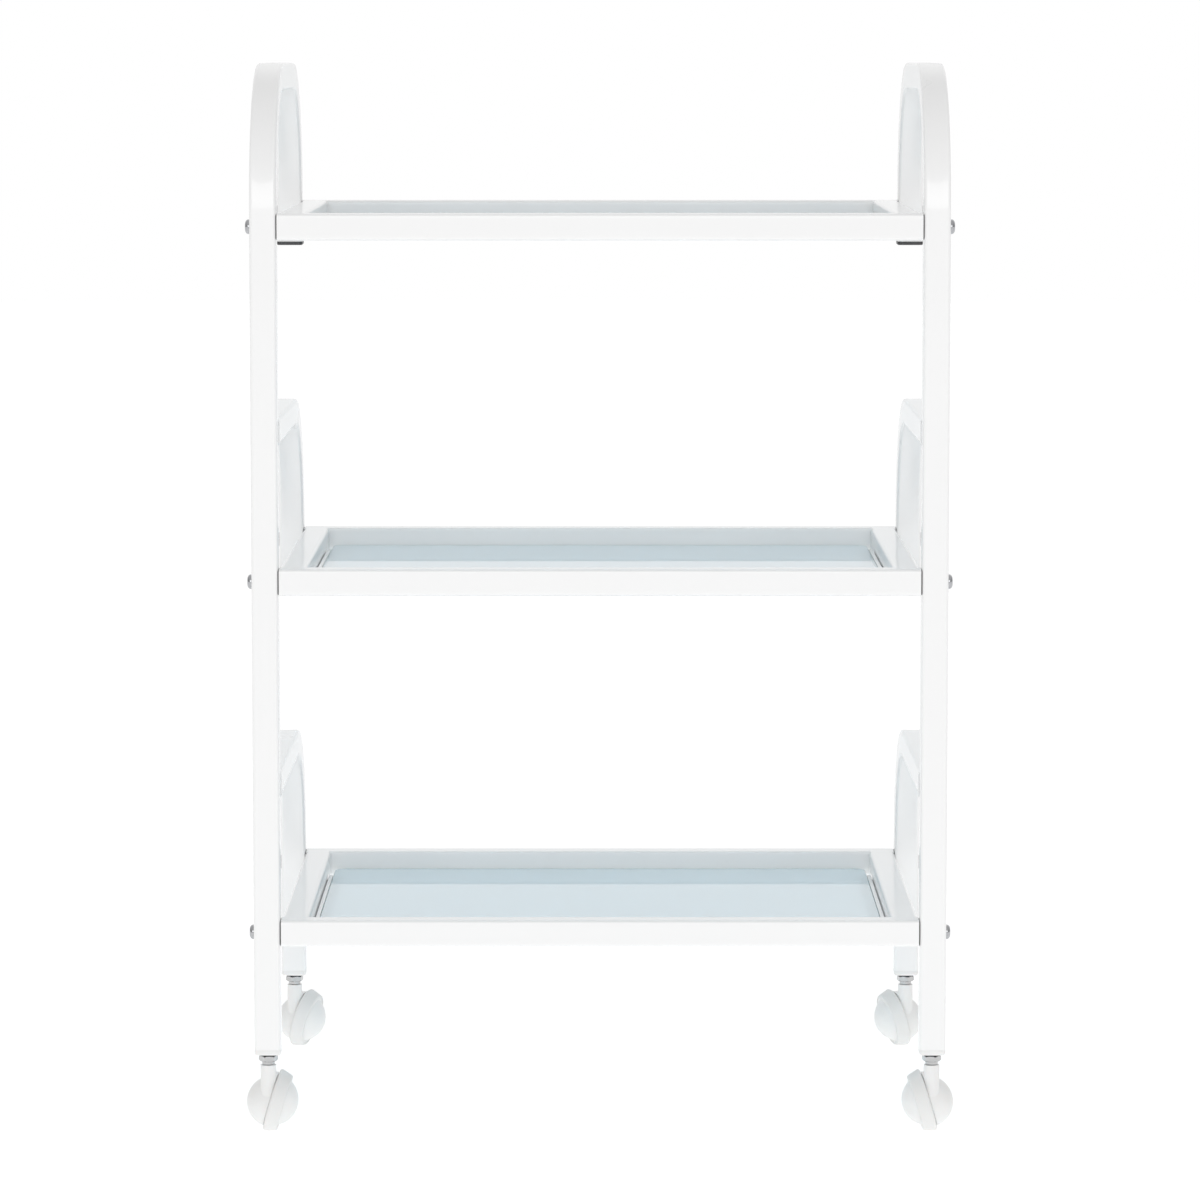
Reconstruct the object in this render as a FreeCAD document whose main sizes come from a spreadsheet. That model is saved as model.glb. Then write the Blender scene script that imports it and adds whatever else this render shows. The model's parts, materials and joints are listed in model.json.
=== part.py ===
import FreeCAD, Part
import math
import os
import Sketcher

# Three-tier spa trolley: two side frames of bent square tube, three bolted shelf
# frames that each hold a loose glass panel, and four ball casters.
# The front faces -Y, +X is to the right, +Z is up and the floor is at Z = 0.

SIZES = [
    ("overall_width", 550, "over the outer faces of the legs"),
    ("overall_depth", 390, "over the front and rear faces of the legs"),
    ("overall_height", 850, "floor to the top of the handles"),
    ("tube_size", 21, "square tube of the whole frame, outside"),
    ("tube_wall", 1.2, "wall of the square tube"),
    ("tube_corner", 2.6, "outside corner radius of the square tube"),
    ("bend_radius", 115, "outside radius of every bend"),
    ("arch_rise", 117, "top of an arch above the top of its shelf rail"),
    ("shelf_spacing", 280, "from one shelf rail to the next"),
    ("cap_drop", 14, "rear leg left below the shelf rail, without its cap"),
    ("leg_clearance", 64.2, "floor to the lowest face of a leg"),
    ("insert_flange", 0.7, "flange of a rail end insert, between rail and leg"),
    ("insert_flange_inset", 0.8, "how far that flange stays inside the tube's outline"),
    ("insert_depth", 16, "length of a rail end insert inside the rail"),
    ("plug_clearance", 0.1, "gap between a plug and the inside of its tube"),
    ("plug_corner", 1.5, "rounding of a plug's long edges"),
    ("cap_overhang", 0.6, "how far a black end cap stands out past its tube"),
    ("cap_flange", 3, "flange of a black end cap"),
    ("cap_chamfer", 0.9, "chamfer of a black end cap"),
    ("cap_depth", 12, "length of an end cap inside its tube"),
    ("foot_flange", 4.5, "flange of a white foot insert"),
    ("foot_round", 2.3, "rounding under a foot insert"),
    ("foot_depth", 20, "length of a foot insert inside its leg"),
    ("bolt_radius", 3, "shank of the M6 frame bolts"),
    ("bolt_hole_gap", 0.25, "gap around a bolt in the leg"),
    ("bolt_grip", 13, "how far a bolt goes into its insert"),
    ("bolt_head_radius", 5.9, "head of a frame bolt"),
    ("bolt_head_height", 3.6, "height of a bolt head"),
    ("bolt_head_round", 2, "rounding of a bolt head"),
    ("bolt_socket_radius", 2.3, "hexagon socket in a bolt head, over corners"),
    ("bolt_socket_depth", 2, "depth of the hexagon socket"),
    ("glass_depth_below_rail", 14.5, "top of the glass below the top of the rail"),
    ("glass_thickness", 4, "glass panel"),
    ("glass_side_gap", 4.2, "from a side rail to the glass"),
    ("glass_end_gap", 1.8, "from the front or rear rail to the glass"),
    ("glass_corner", 9, "corner radius of the glass"),
    ("glass_bevel", 0.6, "seamed edge of the glass"),
    ("glass_seat_gap", 0.2, "left between the glass and its ledge"),
    ("ledge_width", 13, "ledge strip under each end of the glass"),
    ("ledge_thickness", 2, "thickness of a ledge strip"),
    ("ledge_end_gap", 37, "from the front or rear rail to the ledge strip"),
    ("ledge_tuck", 1, "how far a ledge strip goes in under its rail's round corner"),
    ("tyre_radius", 24.3, "tread of the tyre, at the middle of its width"),
    ("tyre_width", 11, "width of the tyre"),
    ("tyre_edge", 1.9, "rounding of the tyre edges"),
    ("tyre_bore", 20.2, "inside of the tyre, on its hub"),
    ("wheel_tilt", 16.5, "lean of the wheel from upright, and cone angle of its tread"),
    ("wheel_offset", 4.9, "middle of the tyre from the middle of the ball"),
    ("ball_radius", 20.8, "hood and hub dome"),
    ("hood_gap", 0.7, "between the hood and the wheel"),
    ("hub_rim", 1.8, "rim of the hub around its hollow"),
    ("hub_boss_radius", 4.8, "boss around the axle inside the hub's hollow"),
    ("hub_hollow_depth", 7.6, "hollow of the hub, from its open side"),
    ("trail", 13, "ball behind the stem"),
    ("stem_inset", 2, "stem outboard of the ball"),
    ("hood_drop", 1.6, "middle of the hood's ball below the axle"),
    ("socket_radius", 6.35, "stem socket of the hood"),
    ("socket_top", 55.6, "floor to the top of the stem socket"),
    ("web_top", 47.5, "floor to the top of the web behind the socket"),
    ("web_length", 13, "web from the stem towards the ball"),
    ("stem_radius", 4, "M8 caster stem"),
    ("spigot_radius", 3.2, "lower end of the stem, inside the socket"),
    ("spigot_clearance", 0.05, "running gap around the spigot in its socket"),
    ("stem_reach", 26, "how far the spigot goes down its socket"),
    ("socket_floor", 2.5, "socket left below the stem"),
    ("stem_grip", 22, "how far the stem goes up its leg"),
    ("collar_radius", 5.1, "collar that carries the load on the socket"),
    ("collar_gap", 0.35, "between the collar and the socket"),
    ("nut_flats", 13.4, "lock nut across its flats"),
    ("nut_height", 6.5, "lock nut"),
    ("axle_radius", 2.5, "wheel axle"),
    ("axle_clearance", 0.05, "running gap around the axle in the hub"),
    ("axle_in_hood", 14, "axle length on the hood side of the ball's middle"),
    ("axle_in_hub", 12, "axle length on the hub side of the ball's middle"),
    ("axle_end_gap", 0.8, "left beyond the axle's end in the hub"),
    ("front_yaw", 2, "front casters turned in at rest"),
    ("rear_yaw", 16, "rear casters turned in at rest"),
]

doc = FreeCAD.newDocument("spa_trolley_cart")
sheet = doc.addObject("Spreadsheet::Sheet", "sizes")
for row, (alias, number, note) in enumerate(SIZES, start=1):
    sheet.set(f"A{row}", alias)
    sheet.set(f"B{row}", str(number))
    sheet.set(f"C{row}", note)
    sheet.setAlias(f"B{row}", alias)
doc.recompute()

UP = FreeCAD.Vector(0, 0, 1)
ALONG_X = FreeCAD.Vector(1, 0, 0)
ALONG_Y = FreeCAD.Vector(0, 1, 0)
ALIASES = {alias for alias, number, note in SIZES}
SAME_PLACE = 1e-6
nodes = []


def cell(alias):
    """The number in a cell of the sheet."""
    return float(sheet.get(alias))


def linked(expression):
    """An expression in cell names, with the sheet's name put before each of them."""
    words = []
    for word in expression.split():
        bare = word.strip("()")
        words.append(word.replace(bare, "sizes." + bare) if bare in ALIASES else word)
    return " ".join(words)


def amount(expression):
    """The value of an expression in cell names."""
    return float(sheet.evalExpression(linked(expression)))


# ---- places that several pieces share -------------------------------------------

LEG_X = "( overall_width - tube_size ) / 2"
LEG_Y = "( overall_depth - tube_size ) / 2"
RAIL_LENGTH = "overall_width - 2 * tube_size - 2 * insert_flange"
SIDE_RAIL_LENGTH = "overall_depth - 2 * tube_size"
TUBE_INSIDE = "tube_size - 2 * tube_wall"
PLUG_SIDE = "tube_size - 2 * tube_wall - 2 * plug_clearance"
LEVELS = {"top": 0, "middle": 1, "bottom": 2}


def rail_top(level):
    """Height of the top of a shelf's rails, as an expression."""
    return f"overall_height - arch_rise - {LEVELS[level]} * shelf_spacing"


def rail_middle(level):
    return rail_top(level) + " - tube_size / 2"


def arch_middle(level):
    """Height of the tube's centre line along the top of an arch."""
    return f"overall_height - {LEVELS[level]} * shelf_spacing - tube_size / 2"


def short_leg_end(level):
    return rail_top(level) + " - tube_size - cap_drop"


LONG_LEG_END = "leg_clearance + foot_flange"

# The tread is a cone as steep as the wheel's lean, so it lies flat on the floor.
TILT = math.radians(cell("wheel_tilt"))


def tyre_reach(share):
    """
    From the tyre's middle to its furthest point in a direction that has this share of the
    axle's direction. The furthest point lies on one of the two rounded tread edges.
    """
    edge = cell("tyre_edge")
    furthest = 0
    for end in (-1, 1):
        along = end * (cell("tyre_width") / 2 - edge)
        radius = cell("tyre_radius") - along * math.tan(TILT) - edge / math.cos(TILT)
        reach = radius * math.sqrt(1 - share ** 2) + along * share + edge
        furthest = max(furthest, reach)
    return furthest


BALL_HEIGHT = tyre_reach(math.sin(TILT)) + cell("wheel_offset") * math.sin(TILT)


def ball_from_stem(inboard, yaw):
    """Middle of the ball seen from the stem axis. inboard is +1 on the left, -1 on the right."""
    turn = FreeCAD.Rotation(UP, -inboard * yaw)
    return turn.multVec(FreeCAD.Vector(inboard * cell("stem_inset"), cell("trail"), 0))


def axle_direction(inboard, yaw):
    turn = FreeCAD.Rotation(UP, -inboard * yaw)
    return turn.multVec(FreeCAD.Vector(inboard * math.cos(TILT), 0, -math.sin(TILT)))


def tyre_edge_y(yaw, toward):
    """Furthest point of a tyre along Y from its stem; toward is -1 to the front."""
    direction = axle_direction(1, yaw)
    middle = ball_from_stem(1, yaw).y + cell("wheel_offset") * direction.y
    return middle + toward * tyre_reach(toward * direction.y)


# The origin is the middle of the outline on the floor, casters included.
front_reach = min(-cell("tube_size") / 2, tyre_edge_y(cell("front_yaw"), -1))
rear_reach = max(cell("tube_size") / 2, tyre_edge_y(cell("rear_yaw"), 1))
SHIFT_Y = -(front_reach + rear_reach) / 2


# ---- helpers ----------------------------------------------------------------------

def keep(thing, name, x="0", z="0"):
    """Give a finished sub-part its name and its place."""
    thing.Label = name
    thing.Placement = FreeCAD.Placement(FreeCAD.Vector(0, SHIFT_Y, 0), FreeCAD.Rotation())
    thing.setExpression("Placement.Base.x", linked(x))
    thing.setExpression("Placement.Base.z", linked(z))
    nodes.append(thing)
    return thing


def new_body(name):
    return doc.addObject("PartDesign::Body", name)


def new_sketch(body, name, plane, offset=None):
    """A sketch on one of the body's own origin planes."""
    sketch = body.newObject("Sketcher::SketchObject", name)
    role = {"XY": "XY_Plane", "XZ": "XZ_Plane", "YZ": "YZ_Plane"}[plane]
    face = [item for item in body.Origin.OriginFeatures if item.Role == role][0]
    sketch.AttachmentSupport = [(face, "")]
    sketch.MapMode = "FlatFace"
    for axis, expression in (offset or {}).items():
        sketch.setExpression(f"AttachmentOffset.Base.{axis}", linked(expression))
    return sketch


def hold(sketch, kind, geometry, point, expression):
    """Fix a point's distance from the sketch's origin, on whichever side it lies."""
    distance = amount(expression)
    if distance < 0:
        index = sketch.addConstraint(
            Sketcher.Constraint(kind, geometry, point, -1, 1, -distance))
        sketch.setExpression(f"Constraints[{index}]", linked(f"-1 * ( {expression} )"))
    else:
        index = sketch.addConstraint(
            Sketcher.Constraint(kind, -1, 1, geometry, point, distance))
        sketch.setExpression(f"Constraints[{index}]", linked(expression))


def hold_radius(sketch, geometry, expression):
    index = sketch.addConstraint(
        Sketcher.Constraint("Radius", geometry, amount(expression)))
    sketch.setExpression(f"Constraints[{index}]", linked(expression))


def arc(centre_x, centre_y, radius, first, last):
    circle = Part.Circle(FreeCAD.Vector(centre_x, centre_y, 0), UP, radius)
    return Part.ArcOfCircle(circle, math.radians(first), math.radians(last))


def line(start_x, start_y, end_x, end_y):
    return Part.LineSegment(FreeCAD.Vector(start_x, start_y, 0),
                            FreeCAD.Vector(end_x, end_y, 0))


def rounded_rectangle(sketch, left, right, bottom, top, radius):
    """A closed rectangle with round corners; every size is an expression."""
    x0, x1 = amount(left), amount(right)
    y0, y1 = amount(bottom), amount(top)
    r = amount(radius)
    shapes = [
        line(x0 + r, y0, x1 - r, y0), arc(x1 - r, y0 + r, r, -90, 0),
        line(x1, y0 + r, x1, y1 - r), arc(x1 - r, y1 - r, r, 0, 90),
        line(x1 - r, y1, x0 + r, y1), arc(x0 + r, y1 - r, r, 90, 180),
        line(x0, y1 - r, x0, y0 + r), arc(x0 + r, y0 + r, r, 180, 270),
    ]
    first = sketch.addGeometry(shapes, False)[0]
    for step in range(len(shapes)):
        following = first + (step + 1) % len(shapes)
        sketch.addConstraint(Sketcher.Constraint("Tangent", first + step, 2, following, 1))
    for step, kind in ((0, "Horizontal"), (2, "Vertical"), (4, "Horizontal"), (6, "Vertical")):
        sketch.addConstraint(Sketcher.Constraint(kind, first + step))
    for step in (3, 5, 7):
        sketch.addConstraint(Sketcher.Constraint("Equal", first + 1, first + step))
    hold_radius(sketch, first + 1, radius)
    hold(sketch, "DistanceX", first + 6, 1, left)
    hold(sketch, "DistanceX", first + 2, 1, right)
    hold(sketch, "DistanceY", first, 1, bottom)
    hold(sketch, "DistanceY", first + 4, 1, top)


def rounded_square(sketch, side, radius):
    half = f"( {side} ) / 2"
    rounded_rectangle(sketch, f"-1 * {half}", half, f"-1 * {half}", half, radius)


def tube_section(sketch):
    """The square tube's outside and inside."""
    rounded_square(sketch, "tube_size", "tube_corner")
    rounded_square(sketch, TUBE_INSIDE, "tube_corner - tube_wall")


def pad(body, name, sketch, length, symmetric=False):
    feature = body.newObject("PartDesign::Pad", name)
    feature.Profile = sketch
    feature.setExpression("Length", linked(length))
    feature.SideType = "Symmetric" if symmetric else "One side"
    return feature


def bolt_holes(body, places):
    """Cross-drill a leg along X; places are (y, z) expressions."""
    doc.recompute()
    before = body.Shape.Volume
    sketch = new_sketch(body, body.Name + "_bolt_centres", "YZ")
    for y, z in places:
        circle = Part.Circle(FreeCAD.Vector(amount(y), amount(z), 0), UP, amount("bolt_radius"))
        index = sketch.addGeometry(circle, False)
        hold_radius(sketch, index, "bolt_radius + bolt_hole_gap")
        hold(sketch, "DistanceX", index, 3, y)
        hold(sketch, "DistanceY", index, 3, z)
    pocket = body.newObject("PartDesign::Pocket", body.Name + "_bolt_holes")
    pocket.Profile = sketch
    pocket.SideType = "Symmetric"
    pocket.Type = "ThroughAll"
    doc.recompute()
    if body.Shape.Volume >= before:
        raise RuntimeError("the bolt holes cut nothing from " + body.Name)


def cylinder(name, radius, height, x=0, y=0, z=0):
    """A round bar along Z from z upwards; radius and height are expressions."""
    bar = doc.addObject("Part::Cylinder", name)
    bar.setExpression("Radius", linked(radius))
    bar.setExpression("Height", linked(height))
    bar.Placement.Base = FreeCAD.Vector(x, y, z)
    return bar


def block(name, length, width, height):
    """A box centred in X and Y that stands on Z = 0; its sizes are expressions."""
    box = doc.addObject("Part::Box", name)
    box.setExpression("Length", linked(length))
    box.setExpression("Width", linked(width))
    box.setExpression("Height", linked(height))
    box.setExpression("Placement.Base.x", linked(f"-1 * ( {length} ) / 2"))
    box.setExpression("Placement.Base.y", linked(f"-1 * ( {width} ) / 2"))
    return box


def fused(name, shapes):
    union = doc.addObject("Part::MultiFuse", name)
    union.Shapes = shapes
    return union


def cut(name, base, tool):
    difference = doc.addObject("Part::Cut", name)
    difference.Base = base
    difference.Tool = tool
    return difference


def group(name, pieces):
    """Like pieces kept in one node as separate solids."""
    compound = doc.addObject("Part::Compound", name)
    compound.Links = pieces
    return keep(compound, name)


def worked_edges(name, base, kind, size, chosen):
    """Fillet or chamfer the edges of a solid that pass a test."""
    doc.recompute()
    feature = doc.addObject(kind, name)
    feature.Base = base
    feature.Edges = [(index, size, size) for index, edge in enumerate(base.Shape.Edges, start=1)
                     if chosen(edge)]
    return feature


def rounded_below(name, base, kind, size):
    """Fillet or chamfer the edges of a solid's lowest face."""
    doc.recompute()
    lowest = min(vertex.Z for vertex in base.Shape.Vertexes)
    return worked_edges(name, base, kind, size, lambda edge: all(
        abs(vertex.Z - lowest) < SAME_PLACE for vertex in edge.Vertexes))


def rounded_block(name, side, height, corner):
    """A square block whose four upright edges are rounded; its sizes are expressions."""
    box = block(name + "_block", side, side, height)
    return worked_edges(name, box, "Part::Fillet", amount(corner), lambda edge: abs(
        edge.Vertexes[0].Z - edge.Vertexes[-1].Z) > SAME_PLACE)


# ---- side frames: bent square tube ------------------------------------------------

def bent_tube(name, side, long_front_leg, level, rear_end, holes):
    """
    A square tube that runs back along the top of an arch and bends down into a rear leg.
    The handle tube also has a front bend and a front leg down to the front caster; the
    others start square against the rear face of the front leg, where they are welded.
    """
    body = new_body(name)
    path = new_sketch(body, name + "_path", "YZ")
    leg_y, end_z, top_z = amount(LEG_Y), amount(rear_end), amount(arch_middle(level))
    centre_radius = "bend_radius - tube_size / 2"
    bend = amount(centre_radius)
    tangents = []
    if long_front_leg:
        start_z = amount(LONG_LEG_END)
        path.addGeometry([
            line(-leg_y, start_z, -leg_y, top_z - bend),
            arc(-leg_y + bend, top_z - bend, bend, 90, 180),
        ], False)
        tangents = [(0, 2, 1, 2), (1, 1, 2, 1)]
        level_start = -leg_y + bend
        run = 2
    else:
        level_start = -leg_y + cell("tube_size") / 2
        run = 0
    path.addGeometry([
        line(level_start, top_z, leg_y - bend, top_z),
        arc(leg_y - bend, top_z - bend, bend, 0, 90),
        line(leg_y, top_z - bend, leg_y, end_z),
    ], False)
    tangents += [(run, 2, run + 1, 2), (run + 1, 1, run + 2, 1)]
    for first, first_end, second, second_end in tangents:
        path.addConstraint(
            Sketcher.Constraint("Tangent", first, first_end, second, second_end))
    path.addConstraint(Sketcher.Constraint("Horizontal", run))
    path.addConstraint(Sketcher.Constraint("Vertical", run + 2))
    hold_radius(path, run + 1, centre_radius)
    hold(path, "DistanceY", run, 2, arch_middle(level))
    hold(path, "DistanceX", run + 2, 2, LEG_Y)
    hold(path, "DistanceY", run + 2, 2, rear_end)
    if long_front_leg:
        path.addConstraint(Sketcher.Constraint("Vertical", 0))
        hold_radius(path, 1, centre_radius)
        hold(path, "DistanceX", 0, 1, f"-1 * {LEG_Y}")
        hold(path, "DistanceY", 0, 1, LONG_LEG_END)
        offset = {"y": f"-1 * {LEG_Y}", "z": LONG_LEG_END}
        section = new_sketch(body, name + "_section", "XY", offset)
    else:
        hold(path, "DistanceX", 0, 1, f"-1 * {LEG_Y} + tube_size / 2")
        offset = {"y": arch_middle(level), "z": f"{LEG_Y} - tube_size / 2"}
        section = new_sketch(body, name + "_section", "XZ", offset)
    tube_section(section)
    doc.recompute()
    pipe = body.newObject("PartDesign::AdditivePipe", name + "_tube")
    pipe.Profile = section
    pipe.Spine = (path, [f"Edge{number + 1}" for number in range(run + 3)])
    bolt_holes(body, holes)
    return keep(body, name, x=f"{side} * {LEG_X}")


for hand, side in (("left", -1), ("right", 1)):
    front_leg_holes = [(f"-1 * {LEG_Y}", rail_middle(level)) for level in LEVELS]
    rear_hole = {level: (LEG_Y, rail_middle(level)) for level in LEVELS}
    bent_tube(hand + "_handle_tube", side, True, "top", short_leg_end("top"),
              front_leg_holes + [rear_hole["top"]])
    bent_tube(hand + "_middle_arch", side, False, "middle", short_leg_end("middle"),
              [rear_hole["middle"]])
    bent_tube(hand + "_bottom_arch", side, False, "bottom", LONG_LEG_END,
              [rear_hole["bottom"]])


# ---- plugs in the tube ends ---------------------------------------------------------

def arch_end_cap(name, side, level):
    """Black plug in the open lower end of a short rear leg."""
    flange = rounded_block(name + "_flange", "tube_size + 2 * cap_overhang", "cap_flange",
                           "tube_corner + cap_overhang")
    chamfered = rounded_below(name + "_chamfer", flange, "Part::Chamfer", cell("cap_chamfer"))
    shank = rounded_block(name + "_shank", PLUG_SIDE, "cap_flange + cap_depth", "plug_corner")
    cap = fused(name + "_body", [chamfered, shank])
    keep(cap, name, x=f"{side} * {LEG_X}", z=short_leg_end(level) + " - cap_flange")
    cap.setExpression("Placement.Base.y", linked(LEG_Y) + f" + {SHIFT_Y}")
    return cap


for hand, side in (("left", -1), ("right", 1)):
    for level in ("top", "middle"):
        arch_end_cap(f"{hand}_{level}_end_cap", side, level)


def foot_insert(name, x, y):
    """White plug in the foot of a leg, bored for the caster's stem."""
    flange = rounded_block(name + "_flange", "tube_size", "foot_flange", "tube_corner")
    rounded = rounded_below(name + "_round", flange, "Part::Fillet", cell("foot_round"))
    shank = rounded_block(name + "_shank", PLUG_SIDE, "foot_flange + foot_depth",
                          "plug_corner")
    bore = cylinder(name + "_bore", "stem_radius", "foot_flange + foot_depth")
    insert = cut(name, fused(name + "_body", [rounded, shank]), bore)
    insert.Placement.Base = FreeCAD.Vector(x, y, cell("leg_clearance"))
    return insert


# Corners as (name, inboard sign, stem x, stem y, yaw at rest).
CORNERS = []
for end, sign_y in (("front", -1), ("rear", 1)):
    for hand, inboard in (("left", 1), ("right", -1)):
        CORNERS.append((f"{end}_{hand}", inboard, -inboard * amount(LEG_X),
                        sign_y * amount(LEG_Y), cell(end + "_yaw")))

group("foot_inserts", [foot_insert(f"{corner}_foot", x, y)
                       for corner, inboard, x, y, yaw in CORNERS])


# ---- shelf frames -------------------------------------------------------------------

def straight_tube(name, plane, length, x, y, z):
    """A straight square tube, its ends left open."""
    body = new_body(name)
    section = new_sketch(body, name + "_section", plane)
    tube_section(section)
    pad(body, name + "_tube", section, length, symmetric=True)
    keep(body, name, x=x, z=z)
    body.setExpression("Placement.Base.y", linked(y) + f" + {SHIFT_Y}")
    return body


def glass_ledge(name, side, level):
    """
    A flat strip along the inside of a side rail, which the glass lies on. It is welded under
    the rail's round lower corner and follows that corner.
    """
    strip = doc.addObject("Part::Box", name + "_strip")
    strip.setExpression("Length", linked("ledge_width + ledge_tuck"))
    strip.setExpression("Width", linked(f"{SIDE_RAIL_LENGTH} - 2 * ledge_end_gap"))
    strip.setExpression("Height", linked("ledge_thickness"))
    outer = f"( {RAIL_LENGTH} ) / 2 - tube_size"
    x = f"-1 * ( {outer} ) - ledge_tuck" if side < 0 else f"{outer} - ledge_width"
    half = f"( {SIDE_RAIL_LENGTH} - 2 * ledge_end_gap ) / 2"
    z = rail_top(level) + (" - glass_depth_below_rail - glass_thickness"
                           " - glass_seat_gap - ledge_thickness")
    strip.setExpression("Placement.Base.x", linked(x))
    strip.setExpression("Placement.Base.y", linked(f"-1 * {half}"))
    strip.setExpression("Placement.Base.z", linked(z))
    bar = new_body(name + "_rail_shape")
    section = new_sketch(bar, name + "_rail_section", "XZ", {
        "x": f"{side} * ( {RAIL_LENGTH} - tube_size ) / 2", "y": rail_middle(level)})
    rounded_square(section, "tube_size", "tube_corner")
    pad(bar, name + "_rail_pad", section, SIDE_RAIL_LENGTH, symmetric=True)
    return keep(cut(name, strip, bar), name)


def glass_panel(name, level):
    """Float glass with round corners and seamed edges, lying loose in its frame."""
    body = new_body(name)
    outline = new_sketch(body, name + "_outline", "XY")
    half_x = f"( {RAIL_LENGTH} ) / 2 - tube_size - glass_side_gap"
    half_y = f"( {SIDE_RAIL_LENGTH} ) / 2 - glass_end_gap"
    rounded_rectangle(outline, f"-1 * ( {half_x} )", half_x, f"-1 * ( {half_y} )", half_y,
                      "glass_corner")
    panel = pad(body, name + "_panel", outline, "glass_thickness")
    doc.recompute()
    seam = body.newObject("PartDesign::Chamfer", name + "_seam")
    faces = []
    for index, face in enumerate(panel.Shape.Faces, start=1):
        if abs(face.normalAt(0, 0).x) + abs(face.normalAt(0, 0).y) < SAME_PLACE:
            faces.append(f"Face{index}")
    seam.Base = (panel, faces)
    seam.setExpression("Size", linked("glass_bevel"))
    z = rail_top(level) + " - glass_depth_below_rail - glass_thickness"
    return keep(body, name, z=z)


def rail_insert(name, side_x, side_y, level):
    """Black threaded plug in a rail's end; its flange shows as a line beside the leg."""
    flange = rounded_block(name + "_flange", "tube_size - 2 * insert_flange_inset",
                           "insert_flange", "tube_corner - insert_flange_inset")
    shank = rounded_block(name + "_shank", PLUG_SIDE, "insert_flange + insert_depth",
                          "plug_corner")
    bore = cylinder(name + "_bore", "bolt_radius", "insert_flange + insert_depth")
    insert = cut(name, fused(name + "_body", [flange, shank]), bore)
    base = FreeCAD.Vector(side_x * (cell("overall_width") / 2 - cell("tube_size")),
                          side_y * amount(LEG_Y), amount(rail_middle(level)))
    insert.Placement = FreeCAD.Placement(base, FreeCAD.Rotation(UP, ALONG_X * -side_x))
    return insert


def frame_bolt(name, side_x, side_y, level):
    """M6 button-head bolt through the leg into the rail insert."""
    length = "tube_size + insert_flange + bolt_grip"
    shank = cylinder(name + "_shank", "bolt_radius", length)
    head = cylinder(name + "_head", "bolt_head_radius", "bolt_head_height",
                    z=-cell("bolt_head_height"))
    domed = rounded_below(name + "_dome", head, "Part::Fillet", cell("bolt_head_round"))
    socket = doc.addObject("Part::Prism", name + "_socket")
    socket.Polygon = 6
    socket.setExpression("Circumradius", linked("bolt_socket_radius"))
    socket.setExpression("Height", linked("bolt_socket_depth"))
    socket.Placement.Base.z = -cell("bolt_head_height")
    bolt = cut(name, fused(name + "_body", [domed, shank]), socket)
    base = FreeCAD.Vector(side_x * cell("overall_width") / 2, side_y * amount(LEG_Y),
                          amount(rail_middle(level)))
    bolt.Placement = FreeCAD.Placement(base, FreeCAD.Rotation(UP, ALONG_X * -side_x))
    return bolt


ENDS = [(side_x, side_y) for side_x in (-1, 1) for side_y in (-1, 1)]

for level in LEVELS:
    middle = rail_middle(level)
    straight_tube(f"{level}_front_rail", "YZ", RAIL_LENGTH, "0", f"-1 * {LEG_Y}", middle)
    straight_tube(f"{level}_rear_rail", "YZ", RAIL_LENGTH, "0", LEG_Y, middle)
    for hand, side in (("left", -1), ("right", 1)):
        side_x = f"{side} * ( {RAIL_LENGTH} - tube_size ) / 2"
        straight_tube(f"{level}_{hand}_side_rail", "XZ", SIDE_RAIL_LENGTH, side_x, "0", middle)
        glass_ledge(f"{level}_{hand}_glass_ledge", side, level)
    glass_panel(f"{level}_glass", level)
    group(f"{level}_rail_inserts",
          [rail_insert(f"{level}_insert_{number}", side_x, side_y, level)
           for number, (side_x, side_y) in enumerate(ENDS)])
    group(f"{level}_frame_bolts",
          [frame_bolt(f"{level}_bolt_{number}", side_x, side_y, level)
           for number, (side_x, side_y) in enumerate(ENDS)])


# ---- casters: fixed stem and nut ------------------------------------------------------

def caster_stem(name, x, y):
    """Threaded stem with the collar that carries the load onto the hood's socket."""
    spigot_bottom = cell("socket_top") - cell("stem_reach")
    spigot = cylinder(name + "_spigot", "spigot_radius", "stem_reach + collar_gap",
                      x, y, spigot_bottom)
    collar_bottom = cell("socket_top") + cell("collar_gap")
    collar_height = "leg_clearance - nut_height - socket_top - collar_gap"
    collar = cylinder(name + "_collar", "collar_radius", collar_height, x, y, collar_bottom)
    thread = cylinder(name + "_thread", "stem_radius", "nut_height + stem_grip",
                      x, y, cell("leg_clearance") - cell("nut_height"))
    return fused(name, [spigot, collar, thread])


def lock_nut(name, x, y):
    """Thin hexagon nut that locks the stem against the foot insert."""
    hexagon = doc.addObject("Part::Prism", name + "_hexagon")
    hexagon.Polygon = 6
    hexagon.setExpression("Circumradius", linked("nut_flats / 2") + " / cos(30 deg)")
    hexagon.setExpression("Height", linked("nut_height"))
    bore = cylinder(name + "_bore", "stem_radius", "nut_height")
    nut = cut(name, hexagon, bore)
    nut.Placement.Base = FreeCAD.Vector(x, y, cell("leg_clearance") - cell("nut_height"))
    return nut


group("caster_stems", [caster_stem(f"{corner}_stem", x, y)
                       for corner, inboard, x, y, yaw in CORNERS])
group("caster_lock_nuts", [lock_nut(f"{corner}_nut", x, y)
                           for corner, inboard, x, y, yaw in CORNERS])


# ---- casters: hood, axle, hub and tyre ------------------------------------------------

WHEEL_FACE = "wheel_offset - tyre_width / 2"
HOOD_FACE = "wheel_offset - tyre_width / 2 - hood_gap"


def axle_turn(inboard):
    """Turns +Z onto the axle's direction of a caster that isn't yawed."""
    return FreeCAD.Rotation(ALONG_Y, inboard * (90 + cell("wheel_tilt")))


def caster_place(inboard, x, y, yaw):
    """Place of a caster's ball, with its yaw."""
    middle = ball_from_stem(inboard, yaw)
    return FreeCAD.Placement(FreeCAD.Vector(x + middle.x, y + middle.y + SHIFT_Y, BALL_HEIGHT),
                             FreeCAD.Rotation(UP, -inboard * yaw))


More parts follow.
